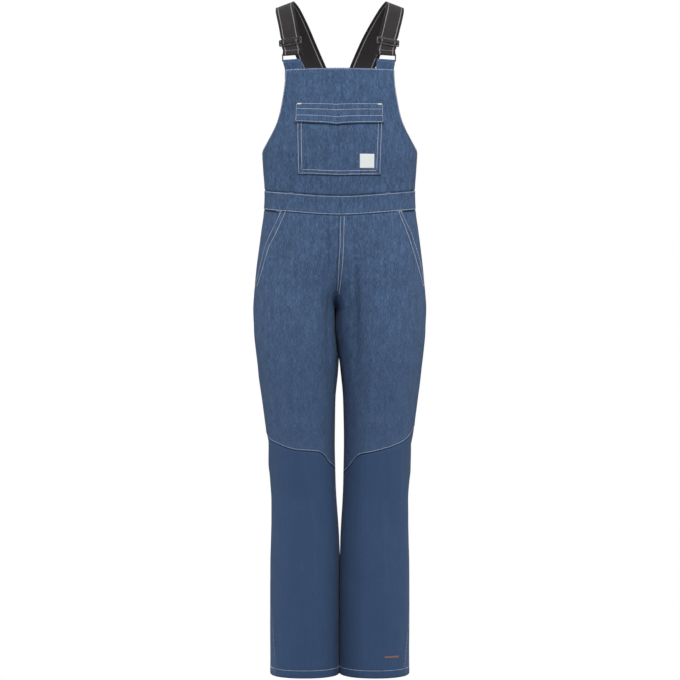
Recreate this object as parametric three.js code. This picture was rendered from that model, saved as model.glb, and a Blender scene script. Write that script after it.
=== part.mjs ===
// Ski bib overalls, worn and hollow.
//
// Millimetres, +Z up, front towards -Y, so the wearer's left is at +X.
// The origin lies midway between the shoulder straps, level with the undersides
// of their inner edges at the top of the shoulders, where the garment hangs.
//
// Every cloth piece is a thin closed wall. Its outer face follows one body
// surface, read as (side, turn, z): turn runs 0 at centre front, 0.5 at the
// side seam and 1 at centre back, and below the crotch it runs round the leg
// from the inseam by the front back to the inseam. Pieces are cut out of that
// surface along seam lines, and what lies on a piece is the same surface
// moved out or in.

import * as THREE from "three";

// ---------- driving dimensions ----------
const CLOTH = 1.8; // softshell wall
const PATCH = 1.4; // pocket and flap
const TAB_CLOTH = 1.2;
const LABEL = 0.8;
const WEBBING = 1.5;
const TAB_WIDTH = 39.5;
const SEAM = 0.3; // clear gap where two pieces meet
const LAY = 0.5; // clear gap under a piece that lies on another

const BIB_TOP = -151.3;
const UNDERARM = -318;
const WAIST_TOP = -396; // at the side seams
const WAIST_BOTTOM = -436;
const WAIST_TOP_DIP = 17; // how much lower the seam runs at centre front
const WAIST_BOTTOM_DIP = 17;
const GROOVE_TOP = -470; // where the two legs begin to round apart
const CROTCH = -645;
const THIGH_TOP = -450; // from here down the section changes to the thigh's
const THIGH_ROUND = -800; // and from here down it is all leg
const HEM = -1409;

// ---------- tables ----------
const table = (columns, ...rows) =>
  rows.map((row) => Object.fromEntries(columns.map((name, i) => [name, row[i]])));

// half: half width at the side seams; front, back: depth from the centre;
// seam: how far behind the centre the side seam lies; gap: half the space
// between the legs; round: exponent of the section, 2 is an ellipse
const BODY = table(
  ["z", "half", "front", "back", "seam", "gap", "round"],
  [-90, 157.0, 110.0, 108, 0, 0.15, 2.45],
  [-151, 159.0, 115.0, 112, 0, 0.15, 2.45],
  [-235, 161.0, 118.0, 114, 0, 0.15, 2.45],
  [-318, 162.6, 116.0, 109, 0, 0.15, 2.4],
  [-354, 160.7, 111.0, 102, 0, 0.15, 2.4],
  [-396, 157.9, 105.0, 97, 0, 0.15, 2.4],
  [-438, 158.9, 103.0, 99, 0, 0.15, 2.4],
  [-480, 164.6, 105.0, 108, 0, 0.15, 2.4],
  [-522, 170.1, 108.0, 119, 2, 0.15, 2.4],
  [-564, 175.2, 111.0, 129, 4, 0.15, 2.35],
  [-606, 178.9, 113.0, 135, 6, 0.15, 2.3],
  [-648, 181.4, 114.0, 136, 8, 0.2, 2.25],
  [-690, 181.2, 113.5, 133, 8, 0.3, 2.2],
  [-732, 177.6, 111.5, 127, 7, 0.8, 2.2],
  [-774, 172.0, 108.0, 120, 6, 3.4, 2.2],
  [-837, 162.8, 101.0, 109, 4, 8.0, 2.2],
  [-921, 152.3, 91.0, 96, 2, 9.6, 2.2],
  [-1005, 146.0, 84.0, 87, 1, 8.0, 2.2],
  [-1047, 143.6, 82.0, 84, 1, 6.0, 2.2],
  [-1089, 143.6, 82.0, 83, 1, 3.2, 2.2],
  [-1131, 144.6, 83.0, 84, 1, 1.0, 2.2],
  [-1174, 145.8, 84.0, 85, 1, 0.3, 2.2],
  [-1290, 146.0, 85.5, 87, 1, 0.3, 2.2],
  [-1409, 146.0, 86.5, 88.5, 1, 0.3, 2.2],
);
const LEG_ROUND = 2.2;

// Edge of the front bib from its top corner to the side seam
const ARMHOLE_FRONT = table(
  ["z", "turn"],
  [-151.3, 0.283],
  [-174, 0.284],
  [-195, 0.288],
  [-215, 0.295],
  [-235, 0.304],
  [-256, 0.319],
  [-275.5, 0.343],
  [-295, 0.381],
  [-305, 0.41],
  [-313, 0.452],
  [-318, 0.5],
);
// Top edge of the back bib from the side seam to its flat top
const ARMHOLE_BACK = table(
  ["turn", "z"],
  [0.5, -318],
  [0.55, -310.5],
  [0.62, -297],
  [0.7, -277],
  [0.78, -247],
  [0.84, -218],
  [0.88, -192],
  [0.89, -188.5],
);
// Side edges of the pocket on the bib
const POCKET_EDGE = table(
  ["z", "right", "left"],
  [-151, 0.2135, 0.2165],
  [-247, 0.2165, 0.219],
  [-268, 0.2178, 0.2192],
  [-320, 0.2196, 0.2178],
  [-368, 0.2289, 0.2241],
  [-396, 0.234, 0.229],
);
const FLAP_OVER = { right: 0.0083, left: 0.0033 }; // how far the flap's ends stand past the pocket's sides, in turns
// Mouth of each slant pocket, from the waistband to the side seam
const SLANT = table(
  ["z", "right", "left"],
  [-430, 0.315, 0.33],
  [-447, 0.331, 0.345],
  [-470, 0.3525, 0.3682],
  [-490, 0.3725, 0.389],
  [-510, 0.392, 0.4025],
  [-540, 0.409, 0.4265],
  [-568, 0.4285, 0.446],
  [-592, 0.449, 0.465],
  [-615, 0.5, 0.5],
);
// Height of the knee seam round the front of each leg
const KNEE = table(
  ["turn", "right", "left"],
  [0, -981, -993],
  [0.07, -974, -983],
  [0.125, -963.5, -969],
  [0.155, -949, -955],
  [0.18, -942, -947],
  [0.22, -939.5, -942.5],
  [0.26, -938, -937],
  [0.3, -933, -930],
  [0.34, -925.5, -922],
  [0.39, -918.5, -910],
  [0.45, -911, -896],
  [0.5, -906, -886],
);
// The side seam comes forward round the leg near the hem
const OUTSEAM = table(
  ["z", "right", "left"],
  [-1100, 0.5, 0.5],
  [-1200, 0.465, 0.5],
  [-1262, 0.43, 0.485],
  [-1300, 0.41, 0.45],
  [-1340, 0.4, 0.415],
  [-1409, 0.375, 0.385],
);
// The inseam comes forward too
const INSEAM = table(["z", "turn"], [-1000, 0], [-1100, 0.03], [-1250, 0.06], [-1409, 0.065]);
// The centre front seam leans to the wearer's right on its way down
const CENTRE = table(["z", "turn"], [-440, -0.0015], [-500, -0.0065], [-545, -0.0075], [-580, -0.004], [-605, 0]);

// Heights of the bib's rows, top to waist seam
const BIB_ROWS = [-170, -190, -207, -221.5, -232, -247, -262, -280, -295, -305, -313, -318, -345, -372];
const POCKET_ROWS = [-232, -262, -295, -318, -345, -372];
// Heights of the upper leg's rows along the inseam, close together at the crotch
const THIGH_ROWS = [
  -480, -510, -540, -565, -585, -602, -617, -629, -638, -643.5, -648, -662, -690, -730, -775, -830, -885, -935,
];
const SHIN_STEPS = 8;

// ---------- reading a table: smooth, and never past its own values ----------
function read(rows, at, column, key = "z") {
  const sign = rows[1][key] > rows[0][key] ? 1 : -1;
  const last = rows.length - 1;
  if ((at - rows[0][key]) * sign <= 0) return rows[0][column];
  if ((at - rows[last][key]) * sign >= 0) return rows[last][column];
  let i = 0;
  while ((at - rows[i + 1][key]) * sign > 0) i++;
  const secant = (j) => (rows[j + 1][column] - rows[j][column]) / (rows[j + 1][key] - rows[j][key]);
  const slope = (j) => {
    if (j === 0) return secant(0);
    if (j === last) return secant(last - 1);
    const a = secant(j - 1);
    const b = secant(j);
    if (a * b <= 0) return 0;
    const before = rows[j][key] - rows[j - 1][key];
    const after = rows[j + 1][key] - rows[j][key];
    return (before + after) / ((before / 3 + (2 * after) / 3) / a + ((2 * before) / 3 + after / 3) / b);
  };
  const step = rows[i + 1][key] - rows[i][key];
  const t = (at - rows[i][key]) / step;
  return (
    rows[i][column] * (1 + 2 * t) * (1 - t) ** 2 +
    slope(i) * step * t * (1 - t) ** 2 +
    rows[i + 1][column] * t * t * (3 - 2 * t) -
    slope(i + 1) * step * t * t * (1 - t)
  );
}

// ---------- the body surface ----------
const superellipse = (a, ca, b, cb, n) => (Math.abs(ca / a) ** n + Math.abs(cb / b) ** n) ** (-1 / n);

// 0 where the section is the torso's, 1 where it is the leg's. Along the
// centre seams it follows the U of the crotch seam, and away from them it
// changes slowly, so the thigh runs smoothly out of the hip.
function legShare(turn, z) {
  const t = THREE.MathUtils.clamp((z - CROTCH) / (GROOVE_TOP - CROTCH), 0, 1);
  const seam = 1 - Math.sqrt(Math.max(0, 1 - (1 - t) ** 2));
  const thigh = THREE.MathUtils.smootherstep(THIGH_TOP - z, 0, THIGH_TOP - THIGH_ROUND);
  return THREE.MathUtils.lerp(seam, thigh, THREE.MathUtils.smoothstep(Math.min(Math.abs(turn), Math.abs(1 - turn)), 0, 0.13));
}

// side is +1 for the wearer's left, -1 for the wearer's right. A turn below 0
// lies past centre front, on the other side.
const isPast = (turn, z) => turn < -5e-4 && z > CROTCH;
function surface(side, turn, z) {
  if (isPast(turn, z)) return surface(-side, -turn, z);
  const half = read(BODY, z, "half");
  const front = read(BODY, z, "front");
  const back = read(BODY, z, "back");
  const seam = read(BODY, z, "seam");
  const gap = read(BODY, z, "gap");
  const share = legShare(turn, z);
  let x = 0;
  let y = 0;
  if (share < 1) {
    const angle = Math.PI * turn;
    const depth = Math.cos(angle) > 0 ? front + seam : back - seam;
    const r = superellipse(half, Math.sin(angle), depth, Math.cos(angle), read(BODY, z, "round"));
    x += (1 - share) * r * Math.sin(angle);
    y += (1 - share) * (seam - r * Math.cos(angle));
  }
  if (share > 0) {
    const angle = 2 * Math.PI * turn;
    const depth = Math.sin(angle) > 0 ? front + seam : back - seam;
    const width = (half - gap) / 2;
    const r = superellipse(width, Math.cos(angle), depth, Math.sin(angle), LEG_ROUND);
    x += share * ((half + gap) / 2 - r * Math.cos(angle));
    y += share * (seam - r * Math.sin(angle));
  }
  return new THREE.Vector3(side * x, y, z);
}

function outward(side, turn, z) {
  if (isPast(turn, z)) return outward(-side, -turn, z);
  const along = surface(1, turn + 1e-4, z).sub(surface(1, turn - 1e-4, z));
  const up = surface(1, turn, z + 0.5).sub(surface(1, turn, z - 0.5));
  const n = along.cross(up).normalize();
  n.x *= side;
  return n;
}

const moved = (side, turn, z, lift) => surface(side, turn, z).addScaledVector(outward(side, turn, z), lift);

// The turn that lies mm further round the section at this height
function shifted(turn, z, mm) {
  const speed = surface(1, turn + 1e-4, z).distanceTo(surface(1, turn - 1e-4, z)) / 2e-4;
  return turn + mm / speed;
}

// The turn at which the torso is x from the centre plane, on its front or back
function turnAt(x, z, behind = false) {
  let low = 0;
  let high = 0.5;
  for (let i = 0; i < 40; i++) {
    const mid = (low + high) / 2;
    if (surface(1, behind ? 1 - mid : mid, z).x < x) low = mid;
    else high = mid;
  }
  return behind ? 1 - low : low;
}

// ---------- closed walls ----------
// outer and inner are grids of points, one row after another, of the same size
function wall(outer, inner) {
  const rows = outer.length;
  const columns = outer[0].length;
  const position = [];
  for (const grid of [outer, inner]) for (const row of grid) for (const p of row) position.push(p.x, p.y, p.z);
  const id = (face, i, j) => (face * rows + i) * columns + j;
  const index = [];
  const quad = (a, b, c, d) => index.push(a, b, c, a, c, d);
  for (let i = 0; i + 1 < rows; i++)
    for (let j = 0; j + 1 < columns; j++) {
      quad(id(0, i, j), id(0, i + 1, j), id(0, i + 1, j + 1), id(0, i, j + 1));
      quad(id(1, i, j), id(1, i, j + 1), id(1, i + 1, j + 1), id(1, i + 1, j));
    }
  for (let j = 0; j + 1 < columns; j++) {
    quad(id(0, 0, j), id(0, 0, j + 1), id(1, 0, j + 1), id(1, 0, j));
    quad(id(0, rows - 1, j), id(1, rows - 1, j), id(1, rows - 1, j + 1), id(0, rows - 1, j + 1));
  }
  for (let i = 0; i + 1 < rows; i++) {
    quad(id(0, i, 0), id(1, i, 0), id(1, i + 1, 0), id(0, i + 1, 0));
    quad(id(0, i, columns - 1), id(0, i + 1, columns - 1), id(1, i + 1, columns - 1), id(1, i, columns - 1));
  }
  // Turn every face over if the grid runs the other way round
  let volume = 0;
  const a = new THREE.Vector3();
  const b = new THREE.Vector3();
  const c = new THREE.Vector3();
  for (let i = 0; i < index.length; i += 3) {
    a.fromArray(position, 3 * index[i]);
    b.fromArray(position, 3 * index[i + 1]);
    c.fromArray(position, 3 * index[i + 2]);
    volume += a.dot(b.cross(c));
  }
  if (volume < 0) index.reverse();
  const geometry = new THREE.BufferGeometry();
  geometry.setAttribute("position", new THREE.Float32BufferAttribute(position, 3));
  geometry.setIndex(index);
  geometry.computeVertexNormals();
  return geometry;
}

// A piece of the body surface: at(i, j) gives [side, turn, z, lift] of its outer face
function panel(rows, columns, at, thickness = CLOTH) {
  const grid = (inside) =>
    Array.from({ length: rows + 1 }, (_, i) =>
      Array.from({ length: columns + 1 }, (_, j) => {
        const [side, turn, z, lift = 0] = at(i, j);
        return moved(side, turn, z, lift - inside);
      }),
    );
  return wall(grid(0), grid(thickness));
}

// A ribbon through a grid of middle points
function ribbon(points, thickness) {
  const rows = points.length - 1;
  const columns = points[0].length - 1;
  const shifted = (amount) =>
    points.map((row, i) =>
      row.map((p, j) => {
        const along = points[Math.min(i + 1, rows)][j].clone().sub(points[Math.max(i - 1, 0)][j]);
        const across = row[Math.min(j + 1, columns)].clone().sub(row[Math.max(j - 1, 0)]);
        return p.clone().addScaledVector(along.cross(across).normalize(), amount);
      }),
    );
  return wall(shifted(thickness / 2), shifted(-thickness / 2));
}

// ---------- the garment ----------
const overalls = new THREE.Group();

function add(name, geometry, color, roughness = 0.85, metalness = 0) {
  const mesh = new THREE.Mesh(geometry, new THREE.MeshStandardMaterial({ color, roughness, metalness }));
  mesh.name = name;
  overalls.add(mesh);
  return mesh;
}

const DENIM = 0x485f7f;
const DENIM_LEG = 0x435a7b;
const SHIN = 0x3a5069;
const NAME = { 1: "left", [-1]: "right" };

// How far the waistband seams dip at centre front
const dip = (turn) => Math.max(Math.cos(Math.PI * turn), 0) ** 1.2;
const waistTop = (turn) => WAIST_TOP - WAIST_TOP_DIP * dip(turn);
const waistBottom = (turn) => WAIST_BOTTOM - WAIST_BOTTOM_DIP * dip(turn);

// Columns of the bib: four under half the pocket, three more to the armhole
function bibTurn(j, z) {
  const pocket = read(POCKET_EDGE, z, j < 0 ? "right" : "left");
  const k = Math.abs(j);
  if (k <= 4) return (pocket * k) / 4;
  const edge = z > UNDERARM ? read(ARMHOLE_FRONT, z, "turn") : 0.5;
  return pocket + ((shifted(edge, z, -SEAM / 2) - pocket) * (k - 4)) / 3;
}
const bibRow = (i, turn) => {
  if (i === 0) return BIB_TOP;
  return i <= BIB_ROWS.length ? BIB_ROWS[i - 1] : waistTop(turn) + SEAM / 2;
};
add(
  "bib_front",
  panel(BIB_ROWS.length + 1, 14, (i, j) => {
    const k = j - 7;
    const z = bibRow(i, bibTurn(k, bibRow(i, 0)));
    return [Math.sign(k) || 1, bibTurn(k, z), z];
  }),
  DENIM,
);

add(
  "bib_pocket",
  panel(POCKET_ROWS.length - 1, 8, (i, j) => {
    const k = j - 4;
    const z = POCKET_ROWS[i];
    return [Math.sign(k) || 1, bibTurn(k, z), z, LAY + PATCH];
  }, PATCH),
  DENIM,
);
// The flap is sewn down above the pocket's mouth and stands clear of it below
const FLAP_ROWS = table(["z", "lift"], [-221.5, LAY], [-225.5, LAY + 0.5], [-230, 2 * LAY + PATCH], [-262, 2 * LAY + PATCH + 0.8]);
add(
  "pocket_flap",
  panel(FLAP_ROWS.length - 1, 8, (i, j) => {
    const k = j - 4;
    const { z, lift } = FLAP_ROWS[i];
    const over = Math.abs(k) === 4 ? FLAP_OVER[k < 0 ? "right" : "left"] : 0;
    return [Math.sign(k) || 1, bibTurn(k, z) + over, z, lift + PATCH];
  }, PATCH),
  DENIM,
);
add(
  "pocket_label",
  panel(2, 2, (i, j) => {
    const z = -327.6 - 14.5 * i;
    return [1, turnAt(40.8 + 14.65 * j, z), z, 2 * LAY + PATCH + LABEL];
  }, LABEL),
  0xe8e8e6,
);

// Waistband
const BAND_COLUMNS = 14;
add(
  "waistband_front",
  panel(3, BAND_COLUMNS, (i, j) => {
    const k = j - BAND_COLUMNS / 2;
    const turn = Math.min(Math.abs(k) / BAND_COLUMNS, shifted(0.5, WAIST_TOP, -SEAM / 2));
    return [Math.sign(k) || 1, turn, THREE.MathUtils.lerp(waistTop(turn) - SEAM / 2, waistBottom(turn) + SEAM / 2, i / 3)];
  }),
  DENIM,
);
add(
  "waistband_back",
  panel(3, BAND_COLUMNS, (i, j) => {
    const k = j - BAND_COLUMNS / 2;
    const turn = Math.max(1 - Math.abs(k) / BAND_COLUMNS, shifted(0.5, WAIST_TOP, SEAM / 2));
    return [Math.sign(k) || 1, turn, THREE.MathUtils.lerp(WAIST_TOP - SEAM / 2, WAIST_BOTTOM + SEAM / 2, i / 3)];
  }),
  DENIM,
);

// Back bib: columns at fixed turns, rows shared out between its top edge and the waistband
const BACK_TURNS = [1, 0.945, 0.89, 0.84, 0.78, 0.7, 0.62, 0.55, 0.5];
const BACK_STEPS = 6;
add(
  "bib_back",
  panel(BACK_STEPS, 2 * (BACK_TURNS.length - 1), (i, j) => {
    const k = j - (BACK_TURNS.length - 1);
    const turn = Math.max(BACK_TURNS[Math.abs(k)], shifted(0.5, WAIST_TOP, SEAM / 2));
    const top = read(ARMHOLE_BACK, turn, "z", "turn");
    return [Math.sign(k) || 1, turn, THREE.MathUtils.lerp(top, WAIST_TOP + SEAM / 2, i / BACK_STEPS)];
  }),
  DENIM,
);

// Legs. Row i of the upper leg lies the same share of the way from the
// waistband to the knee seam at every column.
const LEG_COLUMNS = 9;
const outseam = (side, z) => read(OUTSEAM, z, NAME[side]);
const inseam = (z) => read(INSEAM, z, "turn");
const knee = (side, turn) => read(KNEE, turn, NAME[side], "turn");
const thighShare = (side, i) => {
  if (i === 0) return 0;
  if (i > THIGH_ROWS.length) return 1;
  const top = waistBottom(0);
  return (THIGH_ROWS[i - 1] - top) / (knee(side, 0) - top);
};
const thighZ = (side, i, turn) => {
  const top = waistBottom(turn) - SEAM / 2;
  return THREE.MathUtils.lerp(top, knee(side, turn) + SEAM / 2, thighShare(side, i));
};
const shinZ = (side, i, turn) => THREE.MathUtils.lerp(knee(side, turn) - SEAM / 2, HEM, i / SHIN_STEPS);
const THIGH_COUNT = THIGH_ROWS.length + 1;

for (const side of [1, -1]) {
  const name = NAME[side];

  // Upper front leg. Its outer edge is the slant pocket's mouth down to the side seam.
  const start = (z) => {
    const centre = side * read(CENTRE, z, "turn");
    const gap = shifted(Math.max(centre, 0), z, SEAM / 2) - Math.max(centre, 0);
    return (z > CROTCH ? centre : inseam(z)) + gap;
  };
  add(
    `front_thigh_${name}`,
    panel(THIGH_COUNT, LEG_COLUMNS, (i, j) => {
      let turn = 0.25;
      for (let n = 0; n < 12; n++) {
        const z = thighZ(side, i, turn);
        const end = Math.min(read(SLANT, z, name), shifted(outseam(side, z), z, -SEAM / 2));
        turn = THREE.MathUtils.lerp(start(z), end, j / LEG_COLUMNS);
      }
      return [side, turn, thighZ(side, i, turn)];
    }),
    DENIM_LEG,
  );

  // Hip facing, tucked under the slant edge and level with the back leg at the side seam
  const facingRows = [];
  for (let i = 0; thighZ(side, i, 0.5) > -600; i++) facingRows.push(i);
  const under = CLOTH + 1.4;
  const FACING = table(["from", "share", "lift"], ["edge", -6, -under], ["edge", 1, -under], ["seam", 0.45, -0.55 * under], ["seam", 0.8, -0.12 * under], ["seam", 1, 0]);
  add(
    `hip_facing_${name}`,
    panel(facingRows.length - 1, FACING.length - 1, (i, j) => {
      const { from, share, lift } = FACING[j];
      let turn = 0.4;
      for (let n = 0; n < 12; n++) {
        const z = thighZ(side, facingRows[i], turn);
        const edge = read(SLANT, z, name);
        const end = shifted(0.5, z, -SEAM / 2);
        turn = from === "edge" ? shifted(edge, z, share) : THREE.MathUtils.lerp(edge, end, share);
      }
      return [side, turn, thighZ(side, facingRows[i], turn), lift];
    }),
    DENIM_LEG,
  );

  // Lower front leg
  add(
    `front_shin_${name}`,
    panel(SHIN_STEPS, LEG_COLUMNS, (i, j) => {
      let turn = 0.25;
      for (let n = 0; n < 12; n++) {
        const z = shinZ(side, i, turn);
        turn = THREE.MathUtils.lerp(
          shifted(inseam(z), z, SEAM / 2),
          shifted(outseam(side, z), z, -SEAM / 2),
          j / LEG_COLUMNS,
        );
      }
      return [side, turn, shinZ(side, i, turn)];
    }),
    SHIN,
  );

  // Back leg, one length from waistband to hem, its rows meeting those of the front pieces
  const seamZ = (i, turn) => (i <= THIGH_COUNT ? thighZ(side, i, turn) : shinZ(side, i - THIGH_COUNT, turn));
  add(
    `back_leg_${name}`,
    panel(THIGH_COUNT + SHIN_STEPS, LEG_COLUMNS, (row, j) => {
      let out = seamZ(row, 0.5);
      for (let n = 0; n < 8; n++) out = seamZ(row, outseam(side, out));
      let inner = seamZ(row, 0);
      for (let n = 0; n < 8; n++) inner = seamZ(row, inseam(inner));
      if (row === 0) inner = out = WAIST_BOTTOM - SEAM / 2;
      const z = THREE.MathUtils.lerp(out, inner, j / LEG_COLUMNS);
      const first = shifted(outseam(side, z), z, SEAM / 2);
      const final = shifted(1 + (z > CROTCH ? 0 : inseam(z)), z, -SEAM / 2);
      return [side, THREE.MathUtils.lerp(first, final, j / LEG_COLUMNS), z];
    }),
    DENIM_LEG,
  );
}

// ---------- straps, sliders, rings and tabs ----------
// Middle line of each strap from the bib tab to the back bib. out: distance
// from the centre plane; yaw: how far its outer edge turns back; roll: how
// far its outer edge drops; wide: its width; lean: how much further in the
// wearer's left strap lies; level: how far its hardware is turned back to level
const STRAP = table(
  ["out", "y", "z", "yaw", "roll", "wide", "lean", "level"],
  [95.4, -97.8, -151.3, 20, 0, 41, 2.4, 6],
  [97.6, -97, -127.7, 22, 0, 41, 3, 6],
  [102.2, -91.5, -95, 22, 6, 41, 2.8, 5.5],
  [105.9, -77, -66, 22, 10, 41, 1.2, 2],
  [111.3, -52, -37.5, 20, 14, 41, 0, 0],
  [115.5, -25, -15, 17, 17, 41, 0, 0],
  [115.5, 0.5, -5.3, 15, 19, 41, 0, 0],
  [106.9, 26, -13, 10, 20, 42, 0, 0],
  [97, 48, -31, 4, 16, 44, 2, 0],
  [86, 67, -56, -2, 8, 47, 5, 0],
  [74.4, 84, -86, -6, 3, 50, 8.2, 0],
  [59.3, 98, -121, -8, 0, 51.5, 8.4, 0],
  [42.4, 106, -158, -8, 0, 51, 6.5, 0],
  [27, 107.9, -188.5, -6, 0, 49, 3, 0],
);
const outOf = (side, row) => row.out - (side > 0 ? row.lean : 0);
STRAP.forEach((row, i) => {
  row.s = i === 0 ? 0 : STRAP[i - 1].s + Math.hypot(row.out - STRAP[i - 1].out, row.y - STRAP[i - 1].y, row.z - STRAP[i - 1].z);
});
const RING_S = STRAP[1].s;
const SLIDER_S = STRAP[2].s;
const STRAP_END = STRAP[STRAP.length - 1].s;

// Middle line, width direction (to the wearer's side) and outward direction at s
function strapFrame(side, s) {
  const outAt = (at) => read(STRAP, at, "out", "s") - (side > 0 ? read(STRAP, at, "lean", "s") : 0);
  const point = (at) => new THREE.Vector3(side * outAt(at), read(STRAP, at, "y", "s"), read(STRAP, at, "z", "s"));
  const along = point(s + 0.5).sub(point(s - 0.5)).normalize();
  const yaw = THREE.MathUtils.degToRad(read(STRAP, s, "yaw", "s"));
  const roll = THREE.MathUtils.degToRad(read(STRAP, s, "roll", "s"));
  const width = new THREE.Vector3(side * Math.cos(yaw) * Math.cos(roll), Math.sin(yaw) * Math.cos(roll), -Math.sin(roll));
  width.addScaledVector(along, -width.dot(along)).normalize();
  const out = along.clone().cross(width).multiplyScalar(-side);
  const level = THREE.MathUtils.degToRad(read(STRAP, s, "level", "s")) * side;
  along.applyAxisAngle(out, level);
  width.applyAxisAngle(out, level);
  return { middle: point(s), along, width, out, wide: read(STRAP, s, "wide", "s") };
}

// Slider: three bars across the strap
const SLIDER = { width: 50, height: 14, thick: 2.6, outerBar: 2.4, middleBar: 2.8, side: 3.8 };
// Ring: a flat rectangle of bar
const RING = { width: 45.5, height: 16, thick: 2.2, bar: 2.2, side: 1.9 };

function roundedRect(shape, width, height, r) {
  shape.moveTo(-width / 2 + r, -height / 2);
  shape.lineTo(width / 2 - r, -height / 2);
  shape.quadraticCurveTo(width / 2, -height / 2, width / 2, -height / 2 + r);
  shape.lineTo(width / 2, height / 2 - r);
  shape.quadraticCurveTo(width / 2, height / 2, width / 2 - r, height / 2);
  shape.lineTo(-width / 2 + r, height / 2);
  shape.quadraticCurveTo(-width / 2, height / 2, -width / 2, height / 2 - r);
  shape.lineTo(-width / 2, -height / 2 + r);
  shape.quadraticCurveTo(-width / 2, -height / 2, -width / 2 + r, -height / 2);
  return shape;
}
function slot(width, low, high) {
  const hole = new THREE.Path();
  hole.moveTo(-width / 2, low);
  hole.lineTo(-width / 2, high);
  hole.lineTo(width / 2, high);
  hole.lineTo(width / 2, low);
  return hole;
}
function flatHardware(width, height, thick, radius, slots) {
  const shape = roundedRect(new THREE.Shape(), width, height, radius);
  shape.holes.push(...slots);
  const geometry = new THREE.ExtrudeGeometry(shape, { depth: thick, bevelEnabled: false, curveSegments: 3 });
  geometry.translate(0, 0, -thick / 2);
  return geometry;
}
function place(mesh, side, s) {
  const { middle, along, width } = strapFrame(side, s);
  mesh.matrix.makeBasis(width, along, width.clone().cross(along)).setPosition(middle);
  mesh.matrix.decompose(mesh.position, mesh.quaternion, mesh.scale);
}

// Path of the webbing beside its middle line: s along the strap and the
// offset out of it. It comes down behind the top bar, over the middle bar,
// behind the bottom bar, and folds up round the ring's top bar.
const half = WEBBING / 2;
const behindBar = -(SLIDER.thick / 2 + SEAM + half);
const overBar = SLIDER.thick / 2 + SEAM + half;
const windowMid = SLIDER.middleBar / 2 + (SLIDER.height / 2 - SLIDER.outerBar - SLIDER.middleBar / 2) / 2;
const barReach = Math.hypot(RING.thick, RING.bar) / 2 + SEAM; // clear of the bar's corners
const fold = barReach + half;
const ringTop = RING.height / 2 - RING.bar / 2;
const THREADING = table(
  ["from", "s", "out"],
  ["free", 26, 0],
  ["free", 15, behindBar + 0.6],
  ["slider", 9, behindBar],
  ["slider", 5.4, behindBar],
  ["slider", windowMid + 0.7, behindBar + 0.3],
  ["slider", windowMid, behindBar + 1.2],
  ["slider", windowMid, overBar - 1.2],
  ["slider", windowMid - 0.7, overBar - 0.3],
  ["slider", 0, overBar],
  ["slider", -windowMid + 0.7, overBar - 0.3],
  ["slider", -windowMid, overBar - 1.2],
  ["slider", -windowMid, behindBar + 1.2],
  ["slider", -windowMid - 0.7, behindBar + 0.3],
  ["slider", -5.4, behindBar],
  ["slider", -9, behindBar],
  ["ring", ringTop + 8, 0.6],
  ["ring", ringTop + 3.5, fold],
  ["ring", ringTop, fold],
  ["ring", ringTop - fold * 0.7, fold * 0.7],
  ["ring", ringTop - fold, 0],
  ["ring", ringTop - fold * 0.7, -fold * 0.7],
  ["ring", ringTop, -fold],
  ["ring", ringTop + 3.5, -fold],
  ["ring", ringTop + 10, -fold - 0.3],
);

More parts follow.
